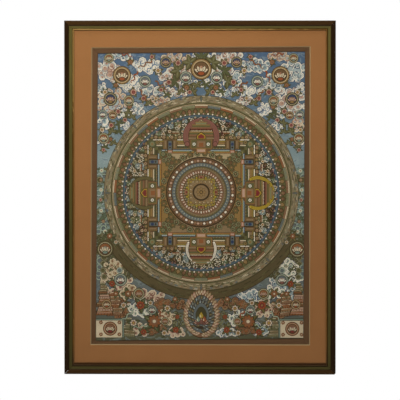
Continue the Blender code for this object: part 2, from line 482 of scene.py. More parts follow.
# Base colours of the paint. Each one ages and wears in its material.
PIGMENTS = {
    "sky_blue": (0.085, 0.165, 0.330),
    "pale_sky": (0.270, 0.370, 0.415),
    "deep_blue": (0.028, 0.050, 0.130),
    "ring_blue": (0.052, 0.090, 0.135),
    "pale_blue": (0.375, 0.470, 0.510),
    "grey_blue": (0.130, 0.165, 0.185),
    "teal": (0.180, 0.265, 0.235),
    "mint": (0.385, 0.500, 0.400),
    "sage": (0.215, 0.225, 0.130),
    "olive": (0.120, 0.115, 0.048),
    "dark_olive": (0.062, 0.056, 0.024),
    "moss": (0.108, 0.086, 0.041),
    "leaf_green": (0.085, 0.105, 0.050),
    "yellow": (0.440, 0.330, 0.035),
    "ochre": (0.275, 0.178, 0.065),
    "tan": (0.262, 0.190, 0.108),
    "sand": (0.420, 0.345, 0.215),
    "stone": (0.265, 0.255, 0.170),
    "smoke": (0.235, 0.200, 0.130),
    "brown": (0.150, 0.088, 0.042),
    "dark_brown": (0.045, 0.027, 0.014),
    "rust": (0.270, 0.105, 0.040),
    "clay": (0.235, 0.118, 0.066),
    "vermilion": (0.330, 0.085, 0.030),
    "crimson": (0.200, 0.030, 0.030),
    "rose": (0.235, 0.100, 0.085),
    "pink": (0.500, 0.335, 0.270),
    "cream": (0.670, 0.595, 0.455),
    "white": (0.830, 0.800, 0.720),
}


# Smoke and old size have warmed every colour of the paint
AGED = (1.05, 0.92, 0.81)


def aged(colour):
    return tuple(channel * share for channel, share in zip(colour, AGED))


def pigment(name, colour):
    """Mineral paint on cotton: mottled, a little browned by smoke, and worn on the weave."""
    colour = aged(colour)
    finish = Finish(name + "_paint", 0.86, Specular_IOR_Level=0.25)
    washes = finish.noise(38.0, 3.0, 0.6)
    strokes = finish.noise(320.0, 2.0, 0.6)
    weave = finish.weave(0.0012)
    toned = finish.mix(washes, scaled(colour, 0.80), scaled(colour, 1.16))
    brushed = finish.mix(strokes * 0.45, toned, scaled(colour, 0.62))
    smoke = finish.between(finish.noise(4.5), 0.35, 0.75) * 0.22
    smoked = finish.mix(smoke, brushed, (0.12, 0.085, 0.045))
    bare = finish.between(finish.noise(210.0, 4.0, 0.7) + weave * 0.04, 0.68, 0.74)
    return finish.done(finish.mix(bare * 0.5, smoked, BARE_COTTON), weave * 0.5 + strokes, 0.35, 0.00012)


def painted_ground():
    """The first washes on the cloth: blue sky, pale mid air, water, and dark land at the foot."""
    finish = Finish("painted_ground", 0.86, Specular_IOR_Level=0.25)
    low = ON_CLOTH.translation.z + EDGE_FOOT * MM
    high = ON_CLOTH.translation.z + EDGE_TOP * MM
    drift = finish.noise(9.0, 4.0)
    up = finish.between(finish.across("Z") + (drift - 0.5) * 0.06, low, high)
    washes = finish.colours(
        up,
        (0.0, aged(scaled(PIGMENTS["olive"], 0.9))),
        (0.16, aged(PIGMENTS["grey_blue"])),
        (0.34, aged(PIGMENTS["sage"])),
        (0.46, aged(PIGMENTS["teal"])),
        (0.62, aged(PIGMENTS["pale_sky"])),
        (0.78, aged((0.110, 0.180, 0.265))),
        (1.0, aged(scaled(PIGMENTS["sky_blue"], 0.78))),
    )
    swirls = finish.noise(26.0, 2.0, 0.5, 1.6, (1, 1, 1.7)) * 9.0
    drawn = 1 - finish.between(swirls.sine().size(), 0.0, 0.34)
    lit = finish.between((swirls + 1.1).sine().size(), 0.9, 1.0)
    lined = finish.mix(drawn * 0.5, washes, aged(PIGMENTS["deep_blue"]))
    lighted = finish.mix(lit * 0.35, lined, aged(PIGMENTS["pale_blue"]))
    strokes = finish.noise(260.0, 3.0, 0.6, stretch=(1, 1, 1.6))
    weave = finish.weave(0.0012)
    brushed = finish.mix(strokes * 0.5, lighted, aged(scaled(PIGMENTS["grey_blue"], 0.7)))
    bare = finish.between(finish.noise(190.0, 4.0, 0.7), 0.68, 0.75)
    return finish.done(finish.mix(bare * 0.5, brushed, BARE_COTTON), weave * 0.5 + strokes, 0.4, 0.00015)


def make_piece(name, bm, finishes, smooth=False):
    """Turns a bmesh into a finished piece at the origin that goes with the part's one body."""
    bmesh.ops.recalc_face_normals(bm, faces=bm.faces)
    mesh = as_mesh(bm, name)
    for finish in finishes:
        mesh.materials.append(finish)
    if smooth:
        mesh.shade_smooth()
        mesh.set_sharp_from_angle(angle=math.radians(40))
    made = add_object(name, mesh)
    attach(made, "root")
    return made


def moulding(corners, span, reach):
    """A length of moulding along X, mitred at both ends, its outer edge at z = reach."""
    bm = bmesh.new()
    end = [bm.verts.new((u + MITRE_CUT - span / 2, -v, reach - u)) for u, v, _, _ in corners]
    for vert in raised_points(bm, [bm.faces.new(end)]):
        vert.co.x = -vert.co.x
    bmesh.ops.recalc_face_normals(bm, faces=bm.faces)
    for u, v, size, segments in corners:
        if size:
            place = Vector((0, -v, reach - u))
            along = [e for e in bm.edges if all((p.co - place).yz.length < 1e-6 for p in e.verts)]
            round_edges(bm, along, size, segments)
    return bm


def mark_edges(bm, reach):
    """Keeps, on each point, how near it is to the moulding's handled edges, for the wear there."""
    layer = bm.verts.layers.float.new("edge")
    for vert in bm.verts:
        u = reach - vert.co.z
        forward = -vert.co.y
        outer = max(0.0, 1 - u / (3.5 * MM))
        inner = max(0.0, 1 - abs(u - RAIL_WIDTH) / (1.5 * MM)) * 0.8
        vert[layer] = max(outer, inner) if forward > 15 * MM else 0.3 * outer


def wear_corner(bm, turn):
    """Rounds off what the moulding has of the frame's bottom right corner, in the wall's plane."""
    to_local = Matrix.Rotation(-turn, 3, "Y")
    corner = Vector((FRAME_WIDTH / 2, 0, -FRAME_HEIGHT / 2))
    middle = corner + Vector((-WORN_RADIUS, 0, WORN_RADIUS))
    for step in range(WORN_STEPS):
        angle = math.radians(-90 * (step + 0.5) / WORN_STEPS)
        outward = Vector((math.cos(angle), 0, math.sin(angle)))
        cut_off(bm, to_local @ (middle + outward * WORN_RADIUS), to_local @ outward, 1e-6)


SIDES = {  # turn about Y, length along the side, reach from the middle to the outer edge, grain
    "top": (0.0, FRAME_WIDTH, FRAME_HEIGHT / 2, "X"),
    "right": (math.radians(90), FRAME_HEIGHT, FRAME_WIDTH / 2, "Z"),
    "bottom": (math.radians(180), FRAME_WIDTH, FRAME_HEIGHT / 2, "X"),
    "left": (math.radians(-90), FRAME_HEIGHT, FRAME_WIDTH / 2, "Z"),
}


def set_upright(bm, turn):
    """Turns a side's moulding about the frame's middle into its place."""
    place = Matrix.Translation(MIDDLE) @ Matrix.Rotation(turn, 4, "Y")
    bmesh.ops.transform(bm, matrix=place, verts=bm.verts)


class Brush:
    """One painted piece in the making: slabs of paint in the painting's millimetres.

    Every slab starts inside the cloth. A level is one layer of paint, and a lift puts a whole
    motif over others.
    """

    def __init__(self):
        self.bm = bmesh.new()

    def slab(self, bm, paint, level, x=0.0, y=0.0, turn=0.0):
        """Puts flat faces in place, gives them their paint and thickness, and adds them."""
        place = Matrix.Translation((x, y, -SUNK)) @ Matrix.Rotation(turn, 4, "Z")
        bmesh.ops.transform(bm, matrix=place, verts=bm.verts)
        for face in bm.faces:
            face.material_index = PAINTS.index(paint)
        raised = raised_points(bm, bm.faces[:])
        bmesh.ops.translate(bm, verts=raised, vec=(0, 0, SUNK + level * LAYER))
        bmesh.ops.recalc_face_normals(bm, faces=bm.faces)
        mesh = as_mesh(bm, "slab")
        self.bm.from_mesh(mesh)
        bpy.data.meshes.remove(mesh)

    def blob(self, paint, level, size, x=0, y=0, turn=0, stretch=1, steps=16, edge=None):
        """A disc of paint; edge(angle) gives how far its rim reaches, as a share of the size."""
        bm = bmesh.new()
        bmesh.ops.create_circle(bm, cap_ends=True, segments=steps, radius=1)
        for vert in bm.verts:
            reach = edge(math.atan2(vert.co.y, vert.co.x)) if edge else 1
            vert.co *= reach * size
            vert.co.x *= stretch
        self.slab(bm, paint, level, x, y, turn)

    def leaf(self, paint, level, length, width, x=0, y=0, turn=0, belly=0.5, steps=8):
        """A pointed leaf or petal from its foot at (x, y), standing up before it is turned."""
        bm = bmesh.new()
        bmesh.ops.create_circle(bm, cap_ends=True, segments=steps, radius=1)
        for vert in bm.verts:
            along = (vert.co.y + 1) / 2
            swell = math.sin(math.pi * along ** (math.log(0.5) / math.log(belly)))
            side = 1 if vert.co.x > 1e-6 else -1 if vert.co.x < -1e-6 else 0
            vert.co = Vector((side * swell * width / 2, along * length, 0))
        self.slab(bm, paint, level, x, y, turn)

    def bar(self, paint, level, x0, y0, x1, y1):
        bm = bmesh.new()
        bmesh.ops.create_grid(bm, x_segments=1, y_segments=1, size=0.5)
        bmesh.ops.scale(bm, vec=(x1 - x0, y1 - y0, 1), verts=bm.verts)
        self.slab(bm, paint, level, (x0 + x1) / 2, (y0 + y1) / 2)

    def patch(self, paint, level, *corners):
        """A flat patch between a few corners."""
        bm = bmesh.new()
        bm.faces.new([bm.verts.new((x, y, 0)) for x, y in corners])
        self.slab(bm, paint, level)

    def ring(self, paint, level, inner, outer, start=0.0, sweep=2 * math.pi, steps=96, x=0, y=0):
        """A ring, or a part of one, spun about (x, y) from a short edge."""
        bm = bmesh.new()
        spoke = [bm.verts.new((r * math.cos(start), r * math.sin(start), 0)) for r in (inner, outer)]
        geom = spoke + [bm.edges.new(spoke)]
        whole = abs(sweep - 2 * math.pi) < 1e-6
        spin = {"cent": (0, 0, 0), "axis": (0, 0, 1), "angle": sweep, "steps": steps}
        bmesh.ops.spin(bm, geom=geom, use_merge=whole, **spin)
        self.slab(bm, paint, level, x, y)

    def rings(self, low, *rows):
        """Whole rings round the wheel's centre: paint, level over the low one, and two radii."""
        for paint, level, inner, outer in rows:
            self.ring(paint, low + level, inner, outer, steps=WHOLE_RING_STEPS)

    def stroke(self, paint, level, points, width, taper=0.0):
        """A brush stroke through points; taper thins it towards its far end."""
        bm = bmesh.new()
        path = [Vector((x, y, 0)) for x, y in points]
        last = len(path) - 1
        pair = None
        for i, point in enumerate(path):
            ahead = path[min(i + 1, last)] - path[max(i - 1, 0)]
            side = Vector((-ahead.y, ahead.x, 0)).normalized()
            side *= width / 2 * (1 - taper * i / last)
            if pair is None:
                pair = [bm.verts.new(point - side), bm.verts.new(point + side)]
                edge = bm.edges.new(pair)
                continue
            grown = bmesh.ops.extrude_edge_only(bm, edges=[edge])["geom"]
            edge = next(g for g in grown if isinstance(g, bmesh.types.BMEdge))
            near = min(edge.verts, key=lambda v: (v.co - pair[0].co).length)
            far = edge.other_vert(near)
            near.co, far.co = point - side, point + side
            pair = [near, far]
        self.slab(bm, paint, level)

    def stencil(self):
        """Ends the brush as a mesh that others stamp."""
        return as_mesh(self.bm, "stencil")

    def stamp(self, mesh, x=0.0, y=0.0, size=1.0, turn=0.0, lift=0.0, stretch=1.0):
        """Adds a copy of a stencil, at a place, size and turn, this many layers up."""
        turned = Matrix.Translation((x, y, lift * LAYER)) @ Matrix.Rotation(turn, 4, "Z")
        add_copy(self.bm, mesh, turned @ Matrix.Diagonal((size * stretch, size, 1, 1)))

    def garland(self, motifs, count, radius, size, lift, offset=0.0, stretch=1.0, rise=0, swell=0.0):
        """Stamps motifs in turn round the wheel; every other one is higher and larger by a little."""
        for k, x, y, turn in spots_round(count, radius, offset):
            odd = k % 2
            self.stamp(motifs[k % len(motifs)], x, y, size + swell * odd, turn, lift + rise * odd, stretch)

    def hang(self, name):
        """Ends the brush as a piece on the face of the cloth."""
        bmesh.ops.transform(self.bm, matrix=ON_CLOTH, verts=self.bm.verts)
        made = make_piece(name, self.bm, paint_finishes())
        flat_map(made)
        return made


PAINTS = list(PIGMENTS)


def paint_finishes():
    """The paints' materials, in the palette's order, each made once."""
    found = [bpy.data.materials.get(name + "_paint") for name in PAINTS]
    return [done or pigment(name, PIGMENTS[name]) for name, done in zip(PAINTS, found)]


def flat_map(made):
    """Gives a piece in the wall's plane a flat map over its own box."""
    mesh = made.data
    places = np.empty(len(mesh.vertices) * 3, dtype=np.float32)
    mesh.vertices.foreach_get("co", places)
    corners = np.empty(len(mesh.loops), dtype=np.int32)
    mesh.loops.foreach_get("vertex_index", corners)
    flat = places.reshape(-1, 3)[:, [0, 2]]
    flat = (flat - flat.min(axis=0)) / max(np.ptp(flat, axis=0))
    layer = mesh.uv_layers.new(name="OFBake")
    layer.data.foreach_set("uv", flat[corners].ravel())


def lobes(count, depth):
    """The rim of a scalloped disc."""
    return lambda angle: 1 - depth * (1 - abs(math.cos(count * angle / 2)) ** 0.7)


def spots_round(count, radius, offset=0.0):
    """Places evenly round the wheel: x, y and the turn that stands a motif up from the centre."""
    for k in range(count):
        angle = 2 * math.pi * (k + offset) / count
        yield k, radius * math.sin(angle), radius * math.cos(angle), -angle


def blossom(outline, outer, inner, heart, petals=8):
    """An open flower seen from above."""
    brush = Brush()
    rim = lobes(petals, 0.3)
    brush.blob(outline, 0, 1.0, steps=petals * 4, edge=rim)
    brush.blob(outer, 1, 0.88, steps=petals * 4, edge=rim)
    brush.blob(inner, 2, 0.58, steps=petals * 3, edge=lobes(petals, 0.45), turn=math.pi / petals)
    brush.blob(heart, 3, 0.24, steps=8)
    return brush.stencil()


def medallion(rim, field, petal, heart):
    """A round medallion with a lotus in it."""
    brush = Brush()
    brush.blob("dark_brown", 0, 1.0, steps=32)
    brush.blob(rim, 1, 0.93, steps=32)
    brush.ring("cream", 2, 0.76, 0.80, steps=28)
    brush.blob("dark_brown", 2, 0.70, steps=28)
    brush.blob(field, 3, 0.64, steps=28)
    for k, turn in enumerate((-1.15, 1.15, -0.6, 0.6, 0.0)):
        brush.leaf("dark_brown", 4 + k * 0.9, 0.80, 0.44, 0, -0.40, turn * 0.9, belly=0.58)
        brush.leaf(petal, 4.4 + k * 0.9, 0.72, 0.32, 0, -0.36, turn * 0.9, belly=0.58)
        brush.leaf(heart, 4.7 + k * 0.9, 0.34, 0.14, *pivot(0.02, turn), turn * 0.9)
    brush.blob("dark_brown", 9, 0.22, 0, -0.40, stretch=1.8, steps=12)
    brush.blob(heart, 9.5, 0.16, 0, -0.40, stretch=1.8, steps=12)
    return brush.stencil()


def leaf_whorl(paint, vein, count=5, spread=250, wide=0.5):
    """Leaves that fan out round a flower."""
    brush = Brush()
    for k in range(count):
        turn = math.radians(spread * (k / (count - 1) - 0.5))
        brush.leaf("dark_olive", k % 2, 1.0, wide, 0, 0, turn, belly=0.45)
        brush.leaf(paint, 2, 0.90, wide * 0.72, 0, 0.04, turn, belly=0.45)
        brush.leaf(vein, 3, 0.74, wide * 0.16, 0, 0.08, turn)
    return brush.stencil()


def lotus(outline, petal, tip, count=9, spread=160):
    """A lotus seen from the side, its petals fanned from the stem."""
    brush = Brush()
    order = sorted(range(count), key=lambda k: -abs(k - (count - 1) / 2))
    for rank, k in enumerate(order):
        turn = math.radians(spread * (k / (count - 1) - 0.5))
        level = 3 * (rank // 2)
        brush.leaf(outline, level, 1.0, 0.44, 0, 0, turn, belly=0.58)
        brush.leaf(petal, level + 1, 0.93, 0.34, 0, 0.02, turn, belly=0.58)
        brush.leaf(tip, level + 2, 0.40, 0.16, *pivot(0.5, turn), turn, belly=0.5)
    return brush.stencil()


def pivot(distance, turn):
    """Where a point that stands this far up goes when it is turned about the origin."""
    return -distance * math.sin(turn), distance * math.cos(turn)


def flame(outline, body, heart):
    """A tongue of flame that leans to one side."""
    brush = Brush()
    brush.leaf(outline, 0, 1.0, 0.62, 0, 0, -0.25, belly=0.36)
    brush.leaf(body, 1, 0.86, 0.46, 0, 0.05, -0.25, belly=0.36)
    brush.leaf(heart, 2, 0.48, 0.2, 0.03, 0.1, -0.25, belly=0.4)
    return brush.stencil()


def wave(outline, crest, water):
    """One scalloped wave: a ring of water under a pale crest."""
    brush = Brush()
    brush.blob(outline, 0, 1.0, steps=14)
    brush.blob(crest, 1, 0.88, steps=14)
    brush.blob(water, 2, 0.68, steps=12)
    brush.ring(outline, 3, 0.34, 0.46, 0.2, 4.0, 6)
    return brush.stencil()


def jewel(outline, body, glint):
    """A drop-shaped jewel."""
    brush = Brush()
    brush.leaf(outline, 0, 1.0, 0.72, 0, 0, 0, belly=0.36, steps=18)
    brush.leaf(body, 1, 0.88, 0.58, 0, 0.05, 0, belly=0.36, steps=18)
    brush.leaf(glint, 2, 0.42, 0.2, -0.08, 0.16, 0.1, belly=0.4)
    return brush.stencil()


def rock(outline, stripes, light, tiers=6):
    """A crag of stepped ledges: each has its own paint, a pale top edge and a row of cracks."""
    brush = Brush()
    for tier in range(tiers):
        share = tier / tiers
        wide = 0.5 * (1 - 0.58 * share)
        foot = share * 1.6
        lean = 0.07 * math.sin(2.3 * tier)
        points = (
            (lean - wide, foot), (lean + wide, foot), (lean + wide * 0.88, foot + 0.30),
            (lean + wide * 0.3, foot + 0.36), (lean - wide * 0.84, foot + 0.31),
        )
        brush.patch(outline, tier, *points)
        inner = [(lean + (x - lean) * 0.90, foot + (y - foot) * 0.84 + 0.02) for x, y in points]
        brush.patch(stripes[tier % len(stripes)], tier + 0.4, *inner)
        line = foot + 0.13
        seam = stripes[(tier + 1) % len(stripes)]
        brush.bar(seam, tier + 0.6, lean - wide * 0.8, line, lean + wide * 0.8, line + 0.04)
        for k in range(5):
            x = lean + wide * (0.64 - 0.32 * k)
            brush.bar(outline, tier + 0.7, x - 0.012, foot + 0.03, x + 0.012, line)
        top = [(x, y - 0.03) for x, y in inner[2:]]
        brush.stroke(light, tier + 0.8, top, 0.055)
    return brush.stencil()


def wavy(x0, y0, x1, y1, swing, turns, steps=20):
    """Points on a line that swings from side to side."""
    start, end = Vector((x0, y0)), Vector((x1, y1))
    side = Vector((-(end - start).y, (end - start).x)).normalized()
    points = []
    for k in range(steps + 1):
        share = k / steps
        points.append(tuple(start.lerp(end, share) + side * swing * math.sin(2 * math.pi * turns * share)))
    return points


# Heights of the painting's main parts over its ground, in layers
WHEEL_LIFT = 34
EDGE_LIFT = 60


class Wheel:
    """Radii of the mandala's circles and the half side of its palace, in millimetres."""

    rim = 253.0
    flames = 236.0
    line = 231.8
    blocks = 229.3
    petals = 220.5
    pearls = 208.0
    blue = 203.0
    field = 197.5
    palace = 136.0
    court = 104.5
    core = 92.0


def paint_wheel_rings():
    """The mandala's circles: smoke, line, fence, lotus petals, pearls and the blue ring."""
    brush = Brush()
    w = Wheel
    low = WHEEL_LIFT
    smoke_band(brush, low)
    seam = petal_stencil("dark_brown", "grey_blue", "olive")
    brush.garland([seam], 8, w.flames, 17, low + 12, stretch=0.34)
    brush.rings(
        low,
        ("olive", 14, w.line, w.flames),
        ("dark_brown", 15, w.line - 0.4, w.line + 1.3),
        ("sand", 16, w.blocks + 0.4, w.line - 0.2),
        ("dark_brown", 14, w.blocks - 1, w.blocks + 0.6),
    )
    step = 2 * math.pi / FENCE_BLOCKS
    for k in range(FENCE_BLOCKS):
        paint = ("clay", "sage", "rust", "grey_blue", "clay", "sage")[k % 6]
        vein = ("tan", "grey_blue", "clay", "olive", "tan", "olive")[k % 6]
        light = "stone" if k % 2 else "cream"
        outer = w.blocks - 0.3
        brush.ring(paint, low + 16, w.petals + 0.8, outer, k * step, step * 0.97, 5)
        brush.ring(light, low + 17, w.blocks - 2.4, outer, k * step, step * 0.97, 5)
        for radius, shift in ((225.4, 0.08), (222.8, 0.0)):
            for begin in (0.08, 0.42, 0.70):
                place = (k + begin + shift) * step
                brush.ring(vein, low + 17, radius - 0.4, radius + 0.4, place, step * 0.2, 2)
    brush.rings(
        low,
        ("dark_brown", 14.5, w.pearls - 6, w.petals + 0.9),
        ("olive", 15, w.pearls - 5, w.petals),
    )
    back = petal_stencil("dark_brown", "brown", "clay")
    front = [petal_stencil("dark_brown", paint, "tan") for paint in ("ochre", "brown", "ochre", "clay")]
    brush.garland([back], 44, w.pearls - 1, 13.6, low + 17, 0.5)
    brush.garland(front, 44, w.pearls - 1, 13.2, low + 20)
    pearl = pearl_stencil("dark_brown", "white")
    rosy = pearl_stencil("brown", "pink")
    brush.garland([rosy, pearl, pearl], 108, w.pearls - 2.2, 2.5, low + 24, 0.5, swell=0.4)
    brush.rings(
        low,
        ("deep_blue", 16, w.field - 1.0, w.blue + 0.6),
        ("ring_blue", 17, w.field, w.blue - 0.4),
        ("teal", 18, w.field + 2.4, w.field + 3.2),
    )
    buds = [pearl_stencil("deep_blue", paint) for paint in ("pink", "clay", "cream", "sand")]
    brush.garland(buds, 80, w.field - 0.8, 2.6, low + 19, stretch=1.25, swell=0.4)
    return brush.hang("wheel_rings")


def petal_stencil(outline, body, light):
    """A round petal with a pointed tip, in three paints."""
    brush = Brush()
    brush.leaf(outline, 0, 1.0, 1.05, belly=0.4)
    brush.leaf(body, 1, 0.84, 0.80, 0, 0.05, belly=0.4)
    brush.leaf(light, 2, 0.46, 0.34, 0, 0.12, belly=0.45)
    return brush.stencil()


def pearl_stencil(outline, body):
    """A bead with a dark outline."""
    brush = Brush()
    brush.blob(outline, 0, 1.0, steps=12)
    brush.blob(body, 1, 0.76, steps=10)
    return brush.stencil()


def quarter_turns():
    """The palace's four sides: the angle, and the turn about the wheel's centre."""
    for side in range(4):
        yield side * math.pi / 2, Matrix.Rotation(side * math.pi / 2, 2)


def tray():
    """A small oblong dish with a berry on it."""
    brush = Brush()
    brush.bar("dark_brown", 0, -1.0, -0.34, 1.0, 0.34)
    brush.bar("rust", 1, -0.94, -0.28, 0.94, -0.06)
    brush.bar("cream", 1, -0.94, 0.06, 0.94, 0.28)
    brush.blob("dark_brown", 2, 0.16, 0, 0.06, steps=8)
    brush.blob("rose", 3, 0.11, 0, 0.06, steps=8)
    return brush.stencil()


def paint_field():
    """The garden between the circles and the palace, thick with pale leaves, bushes and flowers."""
    brush = Brush()
    w = Wheel
    low = WHEEL_LIFT
    brush.blob("dark_olive", low + 1, w.field - 0.6, steps=120)
    rng = random.Random(7)
    pale = ("white", "white", "cream", "pale_blue", "stone")
    clumps = [
        foliage("dark_olive", pale, rng),
        foliage("grey_blue", ("white", "cream", "mint", "pale_blue"), rng),
        foliage("olive", ("sage", "stone", "cream", "mint"), rng),
        foliage("leaf_green", ("sage", "mint", "white", "teal"), rng),
        foliage("dark_brown", ("rose", "pink", "ochre", "sage"), rng, 9),
    ]
    rows = ((190.5, 62, 8.6, 0), (178.5, 54, 9.2, 4), (166.0, 50, 9.4, 8), (153.5, 46, 9.0, 8))
    for radius, count, size, rise in rows:
        for k, x, y, turn in spots_round(count, radius, rng.random()):
            if max(abs(x), abs(y)) > w.palace + 8:
                motif = clumps[(0, 1, 0, 2, 1, 3, 0, 4)[rng.randrange(8)]]
                level = low + 2 + 2 * (k % 2) + 0.02 * k + rise
                brush.stamp(motif, x, y, size * rng.uniform(0.85, 1.15), rng.uniform(0, 6), level)
    bush = blossom("dark_brown", "olive", "ochre", "tan", 6)
    fruit = blossom("dark_brown", "clay", "sand", "dark_brown", 5)
    star = blossom("dark_brown", "cream", "rose", "yellow", 5)
    dish = tray()
    for side, (turn, turned) in enumerate(quarter_turns()):
        for flip in (1, -1):
            for k in range(9):
                place = turned @ Vector((flip * (45 + 10.4 * k), 143.5 + 1.5 * (k % 2)))
                brush.stamp(fruit if k % 2 else bush, *place, 6.0, turn, low + 14)
            brush.stamp(dish, *(turned @ Vector((flip * 66, 157))), 9.5, turn, low + 16)
            for x, y, size in ((82, 160, 5.0), (57, 173, 5.2), (98, 154, 4.4), (48, 160, 3.8)):
                brush.stamp(star, *(turned @ Vector((flip * x, y))), size, side, low + 16)
    return brush.hang("wheel_garden")


def palace_side(arch, radius, band):
    """One wall of the palace with its gate and arch, standing up from the wheel's centre."""
    brush = Brush()
    top = Wheel.palace + 3.6
    for paint, level, near, far, foot, up in WALL_BARS:
        spans = ((near, far), (-far, -near)) if near else ((-far, far),)
        for left, right in spans:
            brush.bar(paint, level, left, foot, right, up)
    for flip in (1, -1):
        for k in range(12):
            brush.blob("stone" if k % 2 else "ochre", 4, 1.5, flip * (20 + 3.9 * k), 116, steps=6)
        for size, level, paint in ((5.4, 10, "dark_brown"), (4.2, 11, "white"), (2.2, 12, "teal")):
            brush.blob(paint, level, size, flip * 18.4, 127, steps=12)
        brush.blob("deep_blue", 11, 4.6, flip * 81, 127, 0, 0.8, 10)
        brush.blob("dark_brown", 11, 2.6, flip * 81, 118.5, steps=8)
    arch_foot = top + radius * 0.16
    brush.blob("brown", 6, radius - 3, 0, arch_foot, steps=40)
    hoops = [
        ("dark_brown", 7, radius - band - 1.0, radius + 1.0),
        (arch, 8, radius - band, radius),
    ]
    for share in (0.35, 0.68):
        line = radius - band * share
        hoops.append(("brown", 9, line - 0.3, line + 0.3))
    for hoop in hoops:
        brush.ring(*hoop, -0.42, math.pi + 0.84, 40, 0, arch_foot)
    for flip in (1, -1):
        x, y = flip * (radius - band * 0.5) * 0.9, arch_foot - radius * 0.42
        brush.blob("dark_brown", 9, band * 0.62, x, y, steps=15, edge=lobes(5, 0.3))
        brush.blob(arch, 10, band * 0.5, x, y, steps=15, edge=lobes(5, 0.3))
    narrow = (radius - band) / 34
    for k, (half, foot, up, paint) in enumerate(TOWER):
        half = half * narrow
        brush.bar("dark_brown", 12 + k * 0.1, -half - 0.5, top + foot - 0.5, half + 0.5, top + up + 0.5)
        brush.bar(paint, 14, -half, top + foot, half, top + up)
    for k in range(16):
        x = (-28 + 3.5 * k) * narrow
        point = (x + 1.75 * narrow, top + 24)
        for paint, foot in (("cream", top + 20.8), ("crimson", top + 27.2)):
            brush.patch(paint, 15, (x, foot), (x + 3.5 * narrow, foot), point)
    gate_house(brush, 16, top + 0.6, 13.4, 20, "dark_brown", "yellow", "rust", "crimson")
    brush.blob("dark_brown", 16, 3.2, 0, top + 49, steps=12)
    brush.blob("sand", 17, 2.2, 0, top + 49, steps=10)
    return brush.stencil()


def paint_palace():
    """The square palace: four walls with gates and arches round a quartered court."""
    brush = Brush()
    low = WHEEL_LIFT + 14
    court = Wheel.court
    for (turn, turned), paint in zip(quarter_turns(), ("sand", "ochre", "tan", "ochre")):
        corners = [turned @ Vector(p) for p in ((0, 0), (court, court), (-court, court))]
        brush.patch(paint, low, *corners)
    arches = (("rose", 47, 13), ("olive", 43, 8), ("white", 40, 6), ("yellow", 44, 8))
    for side, arch in enumerate(arches):
        brush.stamp(palace_side(*arch), turn=side * math.pi / 2, lift=low + 1 + (side % 2) * 0.5)
    bush = blossom("dark_brown", "olive", "ochre", "dark_olive", 7)
    leafy = blossom("dark_olive", "leaf_green", "sage", "ochre", 8)
    for _, x, y, turn in spots_round(4, 180, 0.5):
        brush.stamp(leafy, x, y, 12.5, turn, low + 10)
        for flip in (1, -1):
            near = Vector((x, y)) + Matrix.Rotation(turn, 2) @ Vector((flip * 12, -6))
            brush.stamp(bush, *near, 7.0, turn, low + 14)
    return brush.hang("palace_walls")


